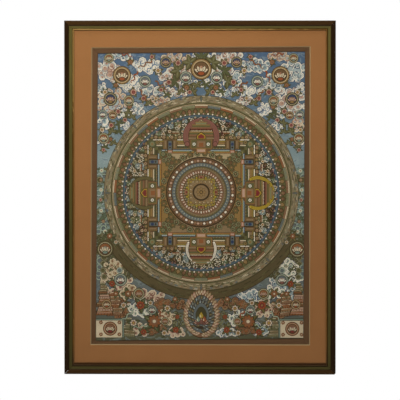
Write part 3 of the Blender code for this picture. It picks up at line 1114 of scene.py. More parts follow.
def paint_court():
    """The court's round garden of bushes, and the circles of the inner lotus."""
    brush = Brush()
    w = Wheel
    low = WHEEL_LIFT + 15
    tree = blossom("dark_brown", "sage", "dark_olive", "tan", 7)
    bough = blossom("dark_brown", "olive", "brown", "ochre", 6)
    shade = petal_stencil("dark_brown", "brown", "olive")
    brush.garland([shade], 36, w.core + 1, 13, low, 0.5)
    brush.garland([bough, tree], 32, w.core + 9.4, 9.2, low + 3, 0.5, rise=4)
    corner_tree = blossom("dark_olive", "leaf_green", "sage", "brown", 8)
    lane = (
        ("dark_brown", 1, 14.0, 100, 148),
        ("olive", 2, 12.6, 100, 147),
        ("brown", 3, 4.0, 104, 144),
    )
    # Reach from the centre, distance to each side, size and motif of the lanes' plants
    planted = (
        (113, 9, 8.0, bough), (121, 0, 8.6, tree), (127, 10, 7.4, tree), (138, 8, 6.4, bough),
        (140, 0, 8.4, corner_tree),
    )
    for *_, turn in spots_round(4, 1, 0.5):
        turned = Matrix.Rotation(turn, 2)
        for paint, level, half, near, far in lane:
            corners = ((-half, near), (half, near), (half * 0.7, far), (-half * 0.7, far))
            brush.patch(paint, low + level, *[turned @ Vector(c) for c in corners])
        for reach, aside, size, motif in planted:
            for flip in (1, -1) if aside else (1,):
                place = turned @ Vector((flip * aside, reach))
                brush.stamp(motif, *place, size, turn, low + 7 + reach % 3 * 4)
    low += 1
    circles = (
        (w.core, "dark_brown"), (w.core - 3.2, "brown"), (76.4, "dark_brown"), (75.4, "grey_blue"),
        (67.2, "dark_brown"), (66.4, "olive"), (63.0, "brown"), (62.2, "tan"), (58.4, "dark_brown"),
        (57.6, "clay"), (47.6, "dark_brown"), (46.8, "olive"),
    )
    for layer, (radius, paint) in enumerate(circles):
        brush.blob(paint, low + layer * 0.4, radius, steps=96)
    low += 6
    bead = pearl_stencil("dark_brown", "white")
    rosy = pearl_stencil("brown", "pink")
    brush.garland([petal_stencil("dark_brown", "clay", "tan")], 32, 77.0, 11.5, low)
    brush.garland([bead, rosy, bead], 32, 81.8, 3.7, low + 3, 0.5, 1.2)
    brush.garland([petal_stencil("grey_blue", "stone", "pale_blue")], 56, 67.8, 7.4, low, 0, 0.7)
    for radius in (64.6, 60.4):
        brush.ring("brown", low, radius - 0.3, radius + 0.3, steps=72)
    brush.garland([pearl_stencil("brown", "stone")], 60, 62.4, 1.5, low + 1)
    speck = petal_stencil("dark_brown", "pink", "white")
    dusty = petal_stencil("dark_brown", "white", "grey_blue")
    brush.garland([dusty, speck, speck], 48, 48.8, 8.4, low, 0, 0.66)
    brush.garland([petal_stencil("dark_brown", "stone", "pink")], 44, 41.6, 7.0, low - 0.4, 0, 0.66)
    gate = palace_gatelet()
    for turn, _ in quarter_turns():
        brush.stamp(gate, turn=turn, lift=low + 1)
    squares = (
        (35.5, "dark_olive"), (34.6, "yellow"), (33.2, "olive"), (31.0, "ochre"), (29.6, "brown"),
        (28.8, "tan"),
    )
    for layer, (half, paint) in enumerate(squares):
        brush.bar(paint, low + 6 + layer * 0.5, -half, -half, half, half)
    dots = ((32.2, ("sand", "dark_olive", "yellow", "sage")), (26.6, ("ochre", "cream", "olive")))
    for side, (turn, turned) in enumerate(quarter_turns()):
        for half, paints in dots:
            for k in range(15):
                place = turned @ Vector(((k - 7) * half / 7.5, half))
                brush.blob(paints[(k + side) % len(paints)], low + 10, 1.3, *place, turn, 1, 5)
    brush.garland([petal_stencil("brown", "ochre", "yellow")], 4, 34.5, 9, low + 10, 0.5, 1.4)
    petal = petal_stencil("brown", "ochre", "tan")
    brush.garland([petal], 16, 21.0, 6.8, low + 10, rise=3)
    for paint, level, radius in (("dark_brown", 16, 22.6), ("ochre", 16.5, 18.2), ("tan", 17, 17.6)):
        brush.blob(paint, low + level, radius, steps=48)
    brush.garland([petal], 8, 4.4, 10.2, low + 18, 0, 0.8)
    brush.blob("dark_brown", low + 21, 4.6, steps=16)
    brush.blob("ochre", low + 22, 3.0, steps=16)
    bmesh.ops.translate(brush.bm, vec=(0, CORE_UP, 0), verts=brush.bm.verts)
    return brush.hang("inner_lotus")


def palace_gatelet():
    """A small gate on the inner square, with blocks of paint on both sides."""
    brush = Brush()
    brush.bar("dark_brown", 0, -8.6, 28, 8.6, 44)
    brush.bar("rust", 1, -7.6, 28, 7.6, 43)
    brush.bar("tan", 2, -5.8, 29, 5.8, 41.4)
    brush.bar("crimson", 3, -3.0, 36, 3.0, 40.4)
    for flip in (1, -1):
        for k, paint in enumerate(("yellow", "sage", "pink", "ochre")):
            x = flip * (12.0 + 6.0 * k)
            brush.bar("dark_brown", 1, x - 2.8, 33.4, x + 2.8, 40.0 - k)
            brush.bar(paint, 3, x - 2.1, 34.2, x + 2.1, 39.2 - k)
    return brush.stencil()


def painting_corners():
    """The painting's corners in its own millimetres."""
    to_painting = ON_CLOTH.inverted()
    return [to_painting @ world_corner(x, z, -CLOTH_LOW.y) for x, z in PAINTING_CORNERS]


def trim(brush):
    """Cuts what runs over the painting's edges, as the painter's border line does."""
    corners = painting_corners()
    centre = sum(corners, Vector()) / 4
    for here, there in zip(corners, corners[1:] + corners[:1]):
        along = (there - here).normalized()
        outward = Vector((-along.y, along.x, 0))
        if outward.dot(here - centre) < 0:
            outward = -outward
        cut_off(brush.bm, here - outward * TRIM_SPARE, outward, 1e-4)


def both_sides(*spots):
    """Each place, and its mirror image on the painting's other side."""
    for x, y, *rest in spots:
        yield (x, y, *rest)
        if x:
            yield (-x, y, *rest)


LAND_CLOUDS = (
    ("deep_blue", "white", "pale_blue", "pale_sky", "deep_blue"),
    ("deep_blue", "cream", "pink", "rose", "cream"),
    ("deep_blue", "white", "mint", "grey_blue", "white"),
    ("dark_brown", "cream", "sand", "clay", "cream"),
    ("dark_brown", "tan", "rust", "clay", "dark_brown"),
    ("dark_olive", "sage", "grey_blue", "olive", "dark_olive"),
    ("dark_brown", "clay", "brown", "rust", "tan"),
)

SKY_CLOUDS = (
    ("deep_blue", "white", "pale_blue", "pale_sky", "deep_blue"),
    ("deep_blue", "white", "pale_blue", "pink", "rose"),
    ("deep_blue", "white", "pale_blue", "white", "sky_blue"),
    ("deep_blue", "cream", "pink", "pale_blue", "rose"),
    ("deep_blue", "white", "pale_sky", "pale_blue", "deep_blue"),
)


def outside_wheel(puffs, room=2.0):
    """Leaves out what the wheel or the painting's edge would hide."""
    return [
        (x, y, size)
        for x, y, size in puffs
        if math.hypot(x, y) > Wheel.rim - size * 0.6 + room and abs(x) < EDGE_X + size * 0.7
    ]


def cloud_puffs(rng, x0, y0, wide, tall, count, size):
    """Where the lobes of a cloud bank stand, small at its ends and large in the middle."""
    for k in range(count):
        angle = 2.4 * k + rng.uniform(-0.2, 0.2)
        reach = math.sqrt((k + 0.5) / count)
        x = x0 + wide * reach * math.cos(angle)
        y = y0 + tall * reach * math.sin(angle)
        yield x, y, size * (1.25 - 0.45 * reach) * rng.uniform(0.85, 1.15)


def bank(brush, paints, puffs, base, rng):
    """A cloud bank: scalloped lobes that share one outline, rim, shade and filling, with curls."""
    outline, rim, shade, fill, curl = paints
    for level, (paint, inset) in enumerate(((outline, 0.0), (rim, 1.3), (shade, 4.1), (fill, 6.4))):
        for k, (x, y, size) in enumerate(puffs):
            reach = max(size - inset, size * 0.3)
            brush.blob(paint, base + level + 0.04 * k, reach, x, y, k, 1, 21, lobes(7, 0.2))
    for k, (x, y, size) in enumerate(puffs):
        for radius in (0.66, 0.4, 0.18):
            start = rng.uniform(0, 6.2)
            sweep = rng.uniform(1.6, 3.2)
            r = radius * size
            paint = curl if radius != 0.4 else rim
            brush.ring(paint, base + 4 + 0.04 * k, r - 0.8, r + 0.8, start, sweep, 6, x, y)


def gate_house(brush, level, foot, half, tall, *paints):
    """A doorway with a pointed top, one paint inside the next."""
    for k, paint in enumerate(paints):
        side = half - 2.1 * k
        peak = foot + tall - 2.8 * k
        eaves = foot + tall * 0.42
        low = foot + 0.8 * k
        outline = ((-side, low), (side, low), (side * 0.94, eaves), (0, peak), (-side * 0.94, eaves))
        brush.patch(paint, level + k, *outline)


# Half width, foot, top and paint of each storey, over the top of the wall
TOWER = (
    (33.0, 0.4, 4.6, "tan"), (31.0, 4.6, 9.0, "brown"), (31.0, 9.0, 12.4, "clay"),
    (30.0, 12.4, 17.0, "olive"), (31.0, 17.0, 20.4, "ochre"), (29.5, 20.4, 27.6, "dark_brown"),
    (27.0, 27.6, 31.6, "clay"), (22.5, 31.6, 36.0, "olive"), (24.0, 36.0, 38.6, "ochre"),
    (14.0, 38.6, 43.0, "sage"), (16.0, 43.0, 45.4, "ochre"), (6.0, 45.4, 49.4, "tan"),
)

# Paint, level, near, far, foot and top; a bar whose near is 0 spans the middle
WALL_BARS = (
    ("dark_brown", 0, 0, 138.4, 102.6, 140.2), ("olive", 1, 0, 137.6, 103.4, 139.4),
    ("rust", 2, 10, 104, 103.6, 106.0), ("yellow", 2, 10, 106, 106.0, 107.2),
    ("sage", 2, 16, 108, 107.4, 108.6), ("dark_olive", 2, 16, 112, 112.6, 119.4),
    ("leaf_green", 3, 30, 120, 119.6, 121.6), ("brown", 2, 28, 124, 124.8, 133.4),
    ("ochre", 3, 31, 61, 126.2, 131.8), ("tan", 3, 102, 122, 126.2, 131.8),
    ("yellow", 3, 28, 132, 133.8, 135.0), ("leaf_green", 3, 28, 132, 135.2, 136.0),
    ("deep_blue", 3, 15, 74.6, 108.6, 112.8), ("pale_blue", 4, 16, 73.6, 109.4, 111.8),
    ("teal", 5, 17, 72.6, 109.6, 110.4), ("deep_blue", 3, 88, 103, 108.6, 112.8),
    ("pale_blue", 4, 89, 102, 109.4, 111.8), ("dark_brown", 4, 30, 62.6, 121.6, 125.8),
    ("cream", 5, 30.8, 61.6, 122.3, 125.0), ("dark_brown", 4, 100.6, 117, 121.6, 125.8),
    ("cream", 5, 101.4, 116, 122.3, 125.0), ("dark_brown", 4, 30, 62.6, 136.2, 140.0),
    ("white", 5, 30.8, 61.6, 136.9, 139.3), ("dark_brown", 4, 100.6, 127, 136.2, 140.0),
    ("white", 5, 101.4, 126, 136.9, 139.3), ("dark_brown", 5, 63, 99, 113.2, 139.6),
    ("ochre", 6, 64, 98, 114.2, 138.6), ("brown", 7, 65.2, 96.8, 115.4, 137.4),
    ("tan", 8, 67, 71.6, 117.4, 135.4), ("tan", 8, 90.6, 95.0, 117.4, 135.4),
    ("dark_brown", 8, 73.6, 88.4, 106.4, 137.2), ("dark_olive", 9, 75.0, 87.0, 107.4, 136.2),
    ("grey_blue", 10, 77.0, 85.0, 112.0, 134.6), ("rust", 10, 74.6, 87.4, 103.0, 111.6),
    ("pink", 11, 76.4, 85.6, 105.0, 110.0), ("rust", 6, 0, 28.4, 114.6, 139.6),
    ("ochre", 7, 0, 27.2, 115.8, 138.6), ("olive", 8, 0, 25.8, 117.2, 137.4),
    ("clay", 9, 0, 11.6, 118.6, 136.0), ("tan", 10, 0, 9.6, 120.6, 134.0),
    ("rust", 11, 0, 6.0, 120.6, 131.0), ("rust", 9, 0, 13.0, 104.0, 117.4),
    ("ochre", 10, 0, 11.8, 105.2, 116.6), ("pink", 11, 0, 10.2, 107.0, 113.4),
)


def foliage(ground, leaves, rng, count=13):
    """A clump of small pale leaves and buds over a dark ground, about one unit across."""
    brush = Brush()
    brush.blob(ground, 0, 1.0, steps=18, edge=lobes(6, 0.2))
    for k in range(count):
        angle = 2.4 * k
        reach = 0.84 * math.sqrt((k + 0.4) / count)
        x, y = reach * math.cos(angle), reach * math.sin(angle)
        paint = leaves[rng.randrange(len(leaves))]
        turn = angle + rng.uniform(-0.9, 0.4)
        brush.leaf(paint, 1 + 0.05 * k, rng.uniform(0.34, 0.52), 0.24, x * 0.8, y * 0.8, turn, steps=6)
    return brush.stencil()


def smoke_band(brush, low):
    """The band of smoke round the wheel: short strokes over a mottled ground, with a dark rim."""
    w = Wheel
    rng = random.Random(3)
    brush.rings(
        low,
        ("dark_olive", 0, w.field - 6, w.rim + 0.5),
        ("smoke", 1, w.flames - 1, w.rim - 0.6),
    )
    rows = (
        (w.rim - 4.4, 118, 2, ("tan", "olive", "grey_blue", "smoke")),
        (w.rim - 10.4, 110, 6, ("stone", "sage", "smoke", "olive")),
    )
    for radius, count, level, paints in rows:
        for k, x, y, turn in spots_round(count, radius):
            paint = paints[rng.randrange(4)]
            brush.blob(paint, low + level + 0.03 * k, rng.uniform(2.2, 3.8), x, y, turn, 1.3, 10)
    flecks = ("dark_olive", "tan", "sand", "dark_brown", "cream", "stone", "tan")
    for row in range(7):
        radius = w.rim - 1.9 - 2.3 * row
        start = rng.uniform(0, 1)
        for k in range(96):
            paint = flecks[rng.randrange(7)]
            begin = start + 2 * math.pi * (k + rng.uniform(-0.3, 0.3)) / 96
            sweep = rng.uniform(0.02, 0.05)
            swing = radius + rng.uniform(-0.8, 0.8)
            brush.ring(paint, low + 10 + 0.2 * row, swing - 0.6, swing + 0.6, begin, sweep, 2)
    brush.rings(low, ("dark_olive", 12, w.rim - 0.6, w.rim + 0.5))


def fill_banks(brush, rng, palettes, banks, shift, last):
    """Cloud banks on both sides. On the left, kinds before the last one take another palette."""
    for k, (x, y, wide, tall, count, size, kind) in enumerate(both_sides(*banks)):
        if x < 0 and kind < last:
            kind = (kind + shift) % len(palettes)
        puffs = outside_wheel(cloud_puffs(rng, x, y, wide, tall, count, size))
        bank(brush, palettes[kind], puffs, (k // 2) % 4 * 5.5, rng)


def plant(brush, flowers, greens, twist, share, level):
    """Flowers on both sides, each over leaves that fan out round it."""
    for k, (x, y, size, motif, spread) in enumerate(both_sides(*flowers)):
        brush.stamp(greens[k % len(greens)], x, y, spread, twist * k, level)
        brush.stamp(motif, x, y, size * share, 0.3 * k, level + 4)


def hang_medallions(brush, kinds, places, level):
    for x, y, size, kind in both_sides(*places):
        brush.stamp(kinds[kind], x, y, size, 0, level)


def hang_ribbons(brush, ribbons, plain, swing, wide, level):
    """Ribbons on both sides, red and plain in turn, that wave and thin towards their ends."""
    for flip in (1, -1):
        for k, (x, y, length, tilt) in enumerate(ribbons):
            end = (x + length * math.cos(tilt), y - length * math.sin(tilt))
            path = wavy(flip * x, y, flip * end[0], end[1], swing, 2.0, 12)
            brush.stroke("dark_brown", level, path, wide, 0.5)
            brush.stroke("vermilion" if k % 2 else plain, level + 1, path, 3.0, 0.5)


def paint_sky():
    """Cloud banks over the wheel, then the leaves, flowers, medallions and ribbons on them."""
    brush = Brush()
    rng = random.Random(11)
    # Across, up, half width, half height, lobes, their size and the palette of each bank
    banks = (
        (232, 238, 44, 34, 15, 13, 1), (184, 288, 34, 20, 11, 13, 0), (242, 318, 30, 26, 11, 13, 4),
        (122, 266, 40, 12, 10, 10, 2), (142, 332, 36, 16, 11, 12, 0), (80, 300, 34, 22, 11, 11, 4),
        (204, 356, 30, 10, 7, 11, 3), (70, 352, 38, 12, 9, 11, 1), (254, 186, 14, 26, 8, 10, 3),
        (208, 208, 22, 12, 8, 9, 0), (258, 270, 12, 18, 6, 9, 2), (256, 132, 12, 12, 5, 8, 0),
        (24, 284, 28, 10, 7, 9, 2), (50, 312, 30, 20, 10, 11, 1), (24, 352, 24, 10, 6, 10, 0),
        (62, 262, 34, 9, 10, 9, 4), (116, 240, 30, 10, 9, 9, 1), (166, 218, 20, 16, 8, 9, 2),
        (198, 176, 14, 12, 6, 8, 0),
    )
    fill_banks(brush, rng, SKY_CLOUDS, banks, 2, 9)
    trim(brush)
    brush.hang("sky_clouds")
    brush = Brush()
    top = 24
    leaves = leaf_whorl("olive", "sage", 4, 200, 0.62)
    fronds = leaf_whorl("leaf_green", "olive", 5, 240, 0.46)
    red = blossom("dark_brown", "pink", "crimson", "rose")
    white = blossom("deep_blue", "cream", "rose", "yellow", 7)
    orange = blossom("dark_brown", "rust", "tan", "crimson", 6)
    boughs = both_sides(
        (0, 352, 24, 0.0), (28, 338, 24, -0.9), (58, 318, 25, -1.2), (66, 290, 22, -1.4),
        (34, 282, 18, -2.4), (12, 284, 16, 2.9), (212, 180, 15, -0.8), (232, 158, 15, -0.4),
        (190, 206, 14, -0.6), (250, 118, 13, -0.3), (22, 262, 15, 0.5), (52, 262, 14, -0.4),
        (88, 254, 13, 0.2), (136, 232, 14, -0.2), (180, 196, 14, 0.3), (214, 158, 13, 0.1),
        (228, 128, 13, -0.2),
    )
    for k, (x, y, size, turn) in enumerate(boughs):
        turn = turn if x > 0 else -turn
        brush.stamp(leaves if k % 3 else fronds, x, y, size, turn, top + 4 * (k % 3))
    top += 8
    # Across, up, size, motif and the spread of its leaves
    flowers = (
        (176, 262, 10, red, 16), (250, 262, 8, white, 14), (112, 318, 9, white, 15),
        (184, 340, 8, orange, 13), (84, 288, 9, red, 14), (60, 338, 9, red, 14),
        (38, 274, 8, orange, 13), (216, 212, 8, red, 14), (258, 164, 7, white, 12),
        (128, 354, 7, red, 12), (222, 280, 7, orange, 12), (104, 268, 7, red, 13),
        (150, 246, 8, red, 14), (186, 224, 7, orange, 13), (234, 176, 8, red, 14),
        (254, 112, 6, red, 11), (30, 262, 7, red, 10), (118, 246, 7, white, 11),
        (198, 190, 7, red, 11), (236, 140, 6, orange, 10),
    )
    plant(brush, flowers, (fronds, leaves, leaves), 1.9, 0.95, top + 4)
    kinds = (
        medallion("ochre", "brown", "cream", "vermilion"),
        medallion("teal", "grey_blue", "white", "rose"),
        medallion("olive", "deep_blue", "pink", "ochre"),
        medallion("sage", "rust", "cream", "teal"),
    )
    # Across, up, size and kind
    medallions = (
        (0, 322, 28, 0), (206, 306, 24, 0), (146, 290, 16, 1), (236, 244, 18, 2), (92, 340, 15, 2),
        (40, 300, 16, 1), (240, 350, 13, 3), (256, 204, 12, 1), (230, 202, 11, 0),
        (188, 240, 14, 3), (254, 142, 15, 3),
    )
    hang_medallions(brush, kinds, medallions, top + 12)
    # Across, up, length and tilt
    ribbons = (
        (128, 344, 40, 0.5), (166, 316, 34, 1.1), (120, 290, 38, 2.6), (214, 364, 34, 2.9),
        (160, 268, 34, 2.2),
    )
    hang_ribbons(brush, ribbons, "rust", 3.4, 4.6, top + 9)
    trim(brush)
    return brush.hang("sky_flowers")


def paint_sides():
    """The narrow margins beside the wheel: plain pale air, then leaves and flowers by water."""
    brush = Brush()
    rng = random.Random(5)
    motifs = (
        leaf_whorl("teal", "mint", 5, 230),
        wave("dark_olive", "mint", "grey_blue"),
        leaf_whorl("leaf_green", "teal", 5, 200),
        wave("grey_blue", "pale_blue", "teal"),
        leaf_whorl("teal", "pale_blue", 5, 230),
    )
    dark = (
        leaf_whorl("olive", "sage", 5, 220),
        wave("dark_olive", "stone", "olive"),
        leaf_whorl("leaf_green", "olive", 5, 200),
        wave("grey_blue", "mint", "grey_blue"),
        leaf_whorl("dark_olive", "sage", 5, 230),
    )
    red = blossom("dark_brown", "pink", "crimson", "ochre", 6)
    cream = blossom("grey_blue", "mint", "cream", "rose", 7)
    rust = blossom("dark_brown", "clay", "sand", "rust", 6)
    for flip in (1, -1):
        for k in range(34):
            y = 62 - 8.4 * k
            inner = math.sqrt(max(0.0, (Wheel.rim - 2) ** 2 - y * y))
            room = EDGE_X + 2 - inner
            across = max(1, round(room / 11))
            for j in range(across):
                x = inner + room * (j + 0.5) / across + rng.uniform(-2, 2)
                shade = y < -96 or rng.random() < 0.22
                kind = (dark if shade else motifs)[(k * 3 + j * 2) % 5]
                size = rng.uniform(7.5, 10.0)
                level = 3 * (k % 4) + (j % 2) * 12 + 0.05 * (k % 12)
                brush.stamp(kind, flip * x, y - 3, size, rng.uniform(-0.8, 0.8), level)
        for k, y in enumerate((132, 58, 34, 8, -18, -46, -74, -100)):
            inner = math.sqrt(max(0.0, Wheel.rim**2 - y * y))
            x = (inner + EDGE_X) / 2 + rng.uniform(-1, 2)
            motif = (red, cream, rust, cream)[k % 4]
            brush.stamp(motif, flip * x, y, 7.0 if motif is cream else 5.6, rng.uniform(0, 3), 24)
        brush.stroke("grey_blue", 1, [(flip * (EDGE_X + 2 - 3 * k), 63 + k % 2) for k in range(12)], 1.6)
    trim(brush)
    return brush.hang("side_waters")


def paint_land():
    """The foot of the painting: crags, cloud banks, water and flowers round a flaming jewel."""
    brush = Brush()
    rng = random.Random(23)
    low = 28
    arc = (math.radians(206), math.radians(128), 70)
    brush.ring("dark_brown", low, Wheel.rim - 12, Wheel.rim + 25.5, *arc)
    brush.ring("moss", low + 0.6, Wheel.rim - 12, Wheel.rim + 24.2, *arc)
    brush.ring("dark_olive", low + 1.2, Wheel.rim + 1.0, Wheel.rim + 2.6, *arc)
    for k in range(90):
        radius = Wheel.rim + rng.uniform(4, 22)
        begin = arc[0] + arc[1] * (k + rng.random()) / 92
        paint = ("olive", "dark_olive", "moss")[k % 3]
        brush.ring(paint, low + 1.8, radius - 1.1, radius + 1.1, begin, rng.uniform(0.03, 0.08), 3)
    # Across, up, half width, half height, lobes, their size and the palette of each bank
    banks = (
        (140, -268, 44, 14, 11, 12, 0), (96, -290, 26, 12, 8, 11, 6), (186, -258, 26, 18, 9, 11, 2),
        (226, -196, 24, 24, 10, 11, 2), (210, -232, 30, 28, 12, 12, 0),
        (252, -206, 12, 28, 8, 11, 2), (160, -300, 34, 20, 12, 12, 1),
        (100, -326, 30, 20, 10, 12, 2), (60, -290, 22, 12, 7, 10, 4),
        (158, -354, 42, 13, 11, 12, 0), (208, -302, 22, 26, 10, 12, 4),
        (118, -350, 28, 14, 8, 11, 6), (66, -362, 28, 10, 8, 10, 0), (60, -330, 16, 20, 8, 10, 5),
        (240, -262, 22, 14, 8, 11, 0),
    )
    fill_banks(brush, rng, LAND_CLOUDS, banks, 1, 4)
    top = 31
    crags = (
        rock("dark_brown", ("rust", "pink", "brown"), "sand"),
        rock("dark_brown", ("clay", "tan", "rust"), "cream"),
        rock("dark_olive", ("sage", "tan", "olive"), "cream"),
    )
    places = ((224, -320, 38, 1), (252, -318, 40, 0), (190, -374, 30, 2), (254, -276, 26, 2))
    for k, (x, y, size, kind) in enumerate(both_sides(*places)):
        brush.stamp(crags[kind], x, y, size, rng.uniform(-0.1, 0.1), top + (k // 2) % 3 * 6, 1.2)
    rosette = blossom("dark_brown", "rust", "clay", "cream", 6)
    roundel = medallion("rust", "clay", "cream", "crimson")
    panel = ((14, 0, "dark_brown"), (15, 1.4, "teal"), (16, 4.6, "dark_brown"), (17, 5.8, "cream"))
    for flip in (1, -1):
        for level, inset, paint in panel:
            x0, x1 = sorted((flip * (200 + inset), flip * 276))
            brush.bar(paint, top + level, x0, -376, x1, -326 - inset)
        brush.stamp(roundel, flip * 237, -353, 18.5, 0, top + 18)
        for x, y in ((213, -337), (261, -337), (213, -368), (261, -368)):
            brush.stamp(rosette, flip * x, y, 5.4, 0.2, top + 18)
    top += 18
    leaves = leaf_whorl("leaf_green", "sage", 4, 210, 0.6)
    fronds = leaf_whorl("olive", "ochre", 5, 240, 0.46)
    red = blossom("dark_brown", "vermilion", "crimson", "ochre")
    rusty = blossom("dark_brown", "rust", "clay", "cream", 9)
    white = blossom("deep_blue", "cream", "rose", "yellow", 7)
    # Across, up, size, motif and the spread of its leaves
    flowers = (
        (122, -334, 21, rusty, 32), (158, -292, 14, red, 24), (190, -262, 11, rusty, 19),
        (232, -236, 10, red, 17), (88, -300, 10, white, 17), (66, -356, 10, red, 18),
        (176, -338, 11, white, 19), (150, -362, 10, red, 18), (202, -292, 9, white, 15),
        (96, -364, 9, white, 15), (68, -276, 8, rusty, 14), (132, -286, 8, white, 14),
        (222, -262, 8, rusty, 14), (62, -322, 7, red, 12), (238, -112, 9, rusty, 19),
        (222, -128, 6, white, 12),
    )
    plant(brush, flowers, (fronds, leaves), 1.7, 0.9, top)
    kinds = (
        medallion("ochre", "brown", "cream", "vermilion"),
        medallion("teal", "grey_blue", "white", "rose"),
        medallion("sage", "rust", "pink", "ochre"),
        medallion("olive", "rust", "cream", "teal"),
    )
    # Across, up, size and kind
    medallions = (
        (250, -146, 22, 3), (210, -226, 17, 1), (162, -262, 15, 2), (246, -290, 13, 0),
        (128, -304, 13, 1), (94, -334, 11, 2),
    )
    hang_medallions(brush, kinds, medallions, top + 8)
    # Across, up, length and tilt
    ribbons = ((178, -308, 40, 0.7), (112, -306, 34, 2.2), (140, -344, 36, 0.2))
    hang_ribbons(brush, ribbons, "mint", 3.2, 4.8, top + 5)
    trim(brush)
    return brush.hang("land_and_crags")


def paint_altar():
    """The flaming jewel at the foot: a pointed ring of flames round a lotus seat."""
    brush = Brush()
    low = WHEEL_LIFT + 8
    centre = (0.0, -318.0)
    narrow = 0.74

    def pointed(angle):
        return 1 + 0.13 * max(0.0, math.sin(angle)) ** 6

    discs = (
        (59, "dark_brown"), (57, "clay"), (47, "dark_brown"), (45.4, "grey_blue"),
        (36, "dark_brown"), (28, "grey_blue"), (20, "dark_olive"),
    )
    for layer, (size, paint) in enumerate(discs):
        brush.blob(paint, low - 12 + layer * 1.5, size, *centre, 0, narrow, 64, pointed)
    fires = (("rust", "sand", "cream"), ("rust", "pink", "cream"), ("clay", "tan", "cream"))
    tongues = [flame(*paints) for paints in fires]
    glows = (("grey_blue", "stone"), ("olive", "tan"), ("grey_blue", "pale_blue"))
    embers = [flame("dark_brown", *paints) for paints in glows]
    rows = (
        (49.5, 40, 15.0, tongues),
        (46.5, 36, 11.0, tongues),
        (37, 30, 13.0, embers),
        (27, 22, 13.0, embers),
    )
    for row, (radius, count, size, motifs) in enumerate(rows):
        for k, dx, dy, turn in spots_round(count, radius, row * 0.5):
            shift = pointed(math.atan2(dy, dx))
            place = (centre[0] + dx * narrow * shift, centre[1] + dy * shift)
            lean = (turn + math.pi) % (2 * math.pi) - math.pi
            level = low - 3 + 3 * (row % 2) + 0.05 * k
            brush.stamp(motifs[(k + row) % 3], *place, size, lean * 0.62, level)
    seat = lotus("dark_brown", "rose", "pink", 9, 150)
    brush.stamp(seat, 0, centre[1] - 24, 22, 0, low + 9)
    gems = ((-8, -6, 17, "teal", 24), (8, -6, 17, "vermilion", 24), (0, 3, 19, "yellow", 28))
    for x, y, size, paint, level in gems:
        gem = jewel("dark_brown", paint, "cream")
        brush.stamp(gem, centre[0] + x, centre[1] + y - 12, size, 0, low + level)
    trim(brush)
    return brush.hang("jewel_altar")


def paint_edge_line():
    """The painter's thin line round the whole painting."""
    brush = Brush()
    corners = [corner.xy for corner in painting_corners()]
    centre = sum(corners, Vector((0, 0))) / 4
    inner = [c + (centre - c).normalized() * LINE_WIDTH for c in corners]
    for k in range(4):
        j = (k + 1) % 4
        brush.patch("dark_brown", EDGE_LIFT + k % 2, corners[k], corners[j], inner[j], inner[k])
    trim(brush)
    return brush.hang("edge_line")


def world_corner(x, z, forward):
    return Vector((MIDDLE.x + x, -forward, MIDDLE.z + z))


def plate_with_window():
    """The mat: a board whose window is cut at 45 degrees, opening towards the front."""
    bm = bmesh.new()
    back, face = -MAT_HIGH.y, -MAT_LOW.y
    wide, tall = (MAT_HIGH.x - MAT_LOW.x) / 2, (MAT_HIGH.z - MAT_LOW.z) / 2
    window = [Vector(corner) for corner in WINDOW]
    cut = inset_corners(window, -MAT_THICK)
    outside = [Vector(corner) for corner in ((-wide, tall), (wide, tall), (wide, -tall), (-wide, -tall))]
    ring = [bm.verts.new(world_corner(*corner, back)) for corner in window]
    edges = start = [bm.edges.new((ring[k], ring[(k + 1) % 4])) for k in range(4)]
    for corners, forward in ((cut, face), (outside, face), (outside, back)):
        grown = bmesh.ops.extrude_edge_only(bm, edges=edges)["geom"]
        edges = [g for g in grown if isinstance(g, bmesh.types.BMEdge)]
        for vert in {v for e in edges for v in e.verts}:
            near_left, near_top = vert.co.x < MIDDLE.x, vert.co.z > MIDDLE.z
            k = (0 if near_top else 3) if near_left else (1 if near_top else 2)
            vert.co = world_corner(*corners[k], forward)
    bmesh.ops.bridge_loops(bm, edges=start + edges)
    bm.normal_update()
    for made in bm.faces:
        made.material_index = 1 if 0.1 < abs(made.normal.y) < 0.9 else 0
    return bm


def inset_corners(corners, amount):
    """The same four-sided outline with its sides moved in."""
    moved = []
    for k, here in enumerate(corners):
        before, after = corners[k - 1], corners[(k + 1) % 4]
        first = (here - before).normalized()
        second = (after - here).normalized()
        inward = (Vector((first.y, -first.x)) + Vector((second.y, -second.x))).normalized()
        moved.append(here + inward * amount / inward.dot(Vector((first.y, -first.x))))
    return moved


def strip_outlines():
    """The four strips' outlines, top, right, foot and left, as corners from the frame's middle."""
    inner = [Vector(corner) for corner in PAINTING_CORNERS]
    outer = inset_corners([Vector(corner) for corner in WINDOW], -STRIP_TUCK)
    for k in range(4):
        j = (k + 1) % 4
        yield inset_corners([outer[k], outer[j], inner[j], inner[k]], SEAM)


def cloth_sheet(corners, back, face, roll):
    """A flat sheet of cloth between four corners, with rolled edges at the front."""
    bm = bmesh.new()
    flat = bm.faces.new([bm.verts.new(world_corner(x, z, back)) for x, z in corners])
    bmesh.ops.translate(bm, verts=raised_points(bm, [flat]), vec=(0, back - face, 0))
    bmesh.ops.recalc_face_normals(bm, faces=bm.faces)
    front = [e for e in bm.edges if all(abs(v.co.y + face) < 1e-6 for v in e.verts)]
    round_edges(bm, front, roll, 4)
    return bm


